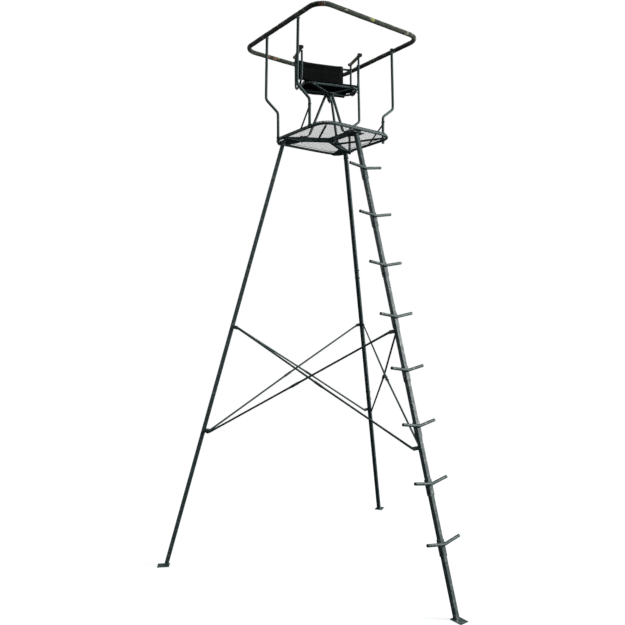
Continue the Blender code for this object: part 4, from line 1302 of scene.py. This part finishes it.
def make_arm_pad(hand, camo, plastic, thread):
    """A camouflage bar pad with a flared black cap in front and a small one behind."""
    front, back = ARM_PAD_FRONT_Y + 0.010, ARM_PAD_BACK_Y - 0.006
    wide, high, count = ARM_PAD_WIDTH - 0.004, ARM_PAD_HEIGHT - 0.003, 46
    path = [TO_SEAT @ arm_line(hand, y) for y in np.linspace(front, back, count)]
    profiles = []
    for k in range(count):
        thin = thinned(k, count, (0.80, 0.93, 0.98))
        size = thin * (1 + 0.03 * math.sin(math.pi * k / (count - 1)))
        profiles.append(rounded_box(wide * size, high * size, 0.0095 * thin, 6))
    bm = bmesh.new()
    sweep(bm, path, profiles, seat_way(1, 0, 0))
    obj = piece(f"arm_rest_{hand}", bm, camo, "seat", 70, [f"arm_pad_{hand}"])
    half = ARM_PAD_HEIGHT / 2
    settle(obj, 4.0, 0.0016, ARM_PAD_Z - half + GAP, ARM_PAD_Z + half + 0.002)
    smoothed(obj)
    caps = bmesh.new()
    add_cap(caps, hand, FRONT_CAP, ARM_PAD_FRONT_Y, 1, 1.0)
    add_cap(caps, hand, BACK_CAP, ARM_PAD_BACK_Y, -1, 0.99)
    piece(f"arm_rest_{hand}_caps", caps, plastic, "seat")
    seam = bmesh.new()
    below = UP * (half - 0.0009)
    stitches(seam, [TO_SEAT @ (arm_line(hand, y) - below) for y in np.linspace(-0.028, 0.164, 20)], -UP)
    piece(f"arm_rest_{hand}_stitches", seam, thread, "seat")


def add_cap(bm, hand, stations, end_y, way, size):
    """Adds a moulded cap over an arm pad's end."""
    path = [TO_SEAT @ (arm_line(hand, end_y + way * d) + UP * 0.003 * s) for d, s in stations]
    wide, high = (ARM_PAD_WIDTH + 0.012) * size, (ARM_PAD_HEIGHT + 0.006) * size
    profiles = [rounded_box(wide * s, high * s, 0.011 * s, 5) for _, s in stations]
    if way < 0:
        path, profiles = path[::-1], profiles[::-1]
    sweep(bm, path, profiles, seat_way(1, 0, 0))


def main():
    make_camera()
    make_world()
    make_lights()
    make_ground()
    steel = make_steel("powder_coat", (0.026, 0.043, 0.043))
    grating = make_steel("grating_coat", (0.030, 0.040, 0.041), roughness=0.60, worn=(0.12, 0.13, 0.13))
    zinc = make_zinc("dark_zinc", (0.055, 0.062, 0.064))
    plastic = make_plastic("black_plastic", (0.0035, 0.0038, 0.0040))
    fabric = make_black_fabric()
    tones = {"leaf": (0.19, 0.20, 0.06), "rust": (0.17, 0.085, 0.052)}
    dark = ((0.030, 0.042, 0.030), (0.040, 0.037, 0.026), (0.235, 0.225, 0.175))
    camo = make_camouflage("rail_camouflage", *dark, scale=19.0, **tones)
    pale = ((0.300, 0.280, 0.200), (0.190, 0.155, 0.100), (0.430, 0.400, 0.300))
    arm_camo = make_camouflage("arm_camouflage", *pale, scale=38.0, **tones)
    thread = make_thread("dark_thread", (0.020, 0.020, 0.018))
    olive_thread = make_thread("olive_thread", (0.050, 0.052, 0.032))
    webbing = make_webbing("black_webbing", (0.0025, 0.0027, 0.0029))
    make_steel_pieces(steel)
    for number in range(1, STEP_COUNT + 1):
        make_step(number, steel, plastic)
    make_grating(grating)
    make_leg_hardware(zinc)
    make_brace_hardware(zinc)
    make_brace_couplers(steel, zinc)
    make_welds(steel)
    make_platform_hardware(zinc, plastic)
    make_hub_details(steel, zinc)
    make_seat_hardware(zinc, plastic, webbing)
    make_rail_padding("back", 1, camo, olive_thread)
    make_rail_padding("front", -1, camo, olive_thread)
    make_seat_pad(fabric, thread)
    make_seat_flap(fabric, thread)
    make_back_panel(fabric, thread)
    for hand in ("left", "right"):
        make_arm_pad(hand, arm_camo, plastic, olive_thread)


main()
